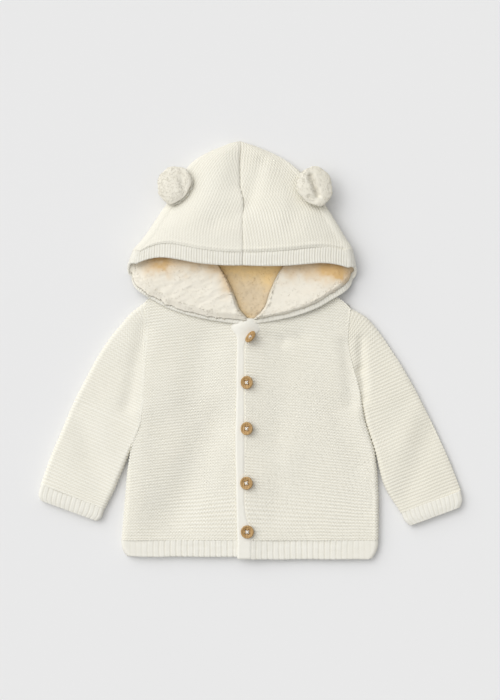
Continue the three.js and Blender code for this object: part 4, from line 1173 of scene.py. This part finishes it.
def earFront(side):
    ear, count = ears[side], earSizes["curls"]
    share, angle = evenly(earSizes["rings"]).T, ringAngles(earSizes["sections"])
    low = earPoints(ear, share[::-1], angle, earSizes["backWall"] + seamGap)
    grid = stacked(earFace(ear, share, angle, 0), low)
    piece = ringPiece(labels("earFront", side), grid, "ear")
    rng = np.random.default_rng(ear["seed"] + 1)
    r = np.sqrt(rng.uniform(0.001, 1, count))
    a = rng.uniform(0, 2 * np.pi, count)
    out = pointGrid(r**4 * np.cos(a), r**4 * np.sin(a), 1 - 0.5 * r**4)
    return piece, curlPile(f"earCurls{side.capitalize()}", earFace(ear, r * 0.99, a, -earSizes["sunk"]),
                           out, earSizes["curlSize"], ear["seed"] + 2, "ear", 0 * r)


def earBack(side):
    ear = ears[side]
    share, angle = evenly(earSizes["backRings"]).T, ringAngles(earSizes["backSections"])
    grid = stacked(earPoints(ear, share, angle, earSizes["backWall"]),
                   earPoints(ear, share[::-1], angle, 0))
    grid[..., :2] += ear["peek"]
    u, v = grid[..., 0] / knitSizes["stitch"], grid[..., 1] / knitSizes["ridge"]
    relief = garterRelief(u, v, ear["seed"] + 5)
    rim = smooth(stacked(share, share[::-1]) * 3 - 2)
    outward = unit((grid - grid.mean(axis=(0, 1))) * [1, 1, 0])
    grid = grid + outward * (rim * (relief - 0.2) * 1.2)[..., None]
    return ringPiece(labels("earBack", side), grid, "knit", np.stack([u, v], axis=-1), relief)


for side in sides:
    base, curls = earFront(side)
    earBack(side)
print("ears made")


# Buttons: a turned disc with a raised rim and a dished middle, four thread holes and a cross
buttons = [
    {"x": 1.3, "y": 13.8, "tilt": -1.12, "axis": 0.9, "lift": 4.6, "turn": 0.3},
    {"x": -3.3, "y": -36.3, "tilt": -0.45, "axis": 1.57, "lift": 2, "turn": 0.1},
    {"x": -3.3, "y": -87.8, "tilt": -0.48, "axis": 1.45, "lift": 2.1, "turn": -0.15},
    {"x": -3.8, "y": -148.6, "tilt": -0.36, "axis": 1.6, "lift": 1.6, "turn": 0.2},
    {"x": -3.3, "y": -203.2, "tilt": -0.12, "axis": 1.35, "lift": 0.5, "turn": 0},
]
button = {"base": 13.2, "hole": 1.1, "offset": 1.8, "sections": 64, "rings": 60}
threads = {"thick": 0.3, "apart": 0.42, "rings": 13, "sections": 6}
buttonProfile = [(0, 2), (1, 2), (2.5, 2), (3.6, 2.02), (4.4, 2.1), (5, 2.5), (5.5, 2.95),
                 (6, 3.18), (6.5, 3.2), (6.9, 3.05), (7.2, 2.7), (7.38, 2.1), (7.4, 1.6),
                 (7.25, 1), (6.9, 0.5), (6.3, 0.12), (5.5, 0), (3, 0), (0, 0)]


# A button's points turned by its tilt about a level line at the angle "axis", then moved to its
# place
def tiltAbout(points, spec):
    c, s = math.cos(spec["tilt"]), math.sin(spec["tilt"])
    wayX, wayY = math.cos(spec["axis"]), math.sin(spec["axis"])
    x, y, z = points[..., 0], points[..., 1], points[..., 2]
    along, across = wayX * x + wayY * y, wayY * x - wayX * y
    turned = across * c + z * s
    base = button["base"] + spec["lift"]
    return pointGrid(wayX * along + wayY * turned + spec["x"], wayY * along - wayX * turned + spec["y"],
                     z * c - across * s + base)


def woodButton(number, spec):
    table = np.array(buttonProfile, float)
    rows = evenRows(table, np.hypot(*np.diff(table, axis=0).T), button["rings"])
    rows[:, 0] = np.maximum(rows[:, 0], 0)
    angle = ringAngles(button["sections"])
    x, y = rows[:, :1] * np.cos(angle), rows[:, :1] * np.sin(angle)
    z = rows[:, 1:2] + 0 * x
    diagonal = spec["turn"] + np.pi / 4 + np.arange(4) * np.pi / 2
    reach = button["offset"] * math.sqrt(2)
    upper = (z > 1.2) & (x * x + y * y < 16)
    for turn in diagonal:
        away = np.hypot(x - reach * np.cos(turn), y - reach * np.sin(turn))
        z = np.where(upper, z - 1.7 * smooth((button["hole"] + 0.25 - away) / 0.4), z)
    grid = tiltAbout(pointGrid(x, y, z), spec)
    ringPiece((f"button{number}", f"button_{number}"), grid, "wood")
    sewThread(number, spec, diagonal, reach)


# Three strands over each diagonal of the holes, each a tube that dips into them at both ends
def sewThread(number, spec, diagonal, reach):
    rings, sections = threads["rings"], threads["sections"]
    turn = ringAngles(sections)[..., None]
    share = np.linspace(-1, 1, rings)[:, None]
    points, faces = [], []
    for cross in (0, 1):
        way = np.array([math.cos(diagonal[cross]), math.sin(diagonal[cross]), 0])
        side, up = np.array([-way[1], way[0], 0]), np.array([0, 0, 1])
        height = 2.25 + 0.28 * cross + 0.35 * (1 - share**4) - 1.1 * np.abs(share) ** 10
        for shift in (-threads["apart"], 0, threads["apart"]):
            path = way * share * (reach - 0.1) + side * shift * (1 - 0.35 * share**2) + up * height
            tube = path[:, None] + threads["thick"] * (np.cos(turn) * side + np.sin(turn) * up)
            at = np.arange(rings * sections).reshape(rings, sections)
            at = wrap(at + len(points) * rings * sections)
            points.append(tube.reshape(-1, 3))
            faces.append(gridFaces(at))
            faces.append(np.stack([at[0, [0, 5, 4, 3]], at[0, [3, 2, 1, 0]],
                                   at[-1, [0, 1, 2, 3]], at[-1, [3, 4, 5, 0]]]))
    makePiece((f"thread{number}", None), tiltAbout(np.concatenate(points), spec), np.concatenate(faces),
              np.zeros((0, 3), int), "thread")


for number, spec in enumerate(buttons):
    woodButton(number + 1, spec)
print("buttons made")
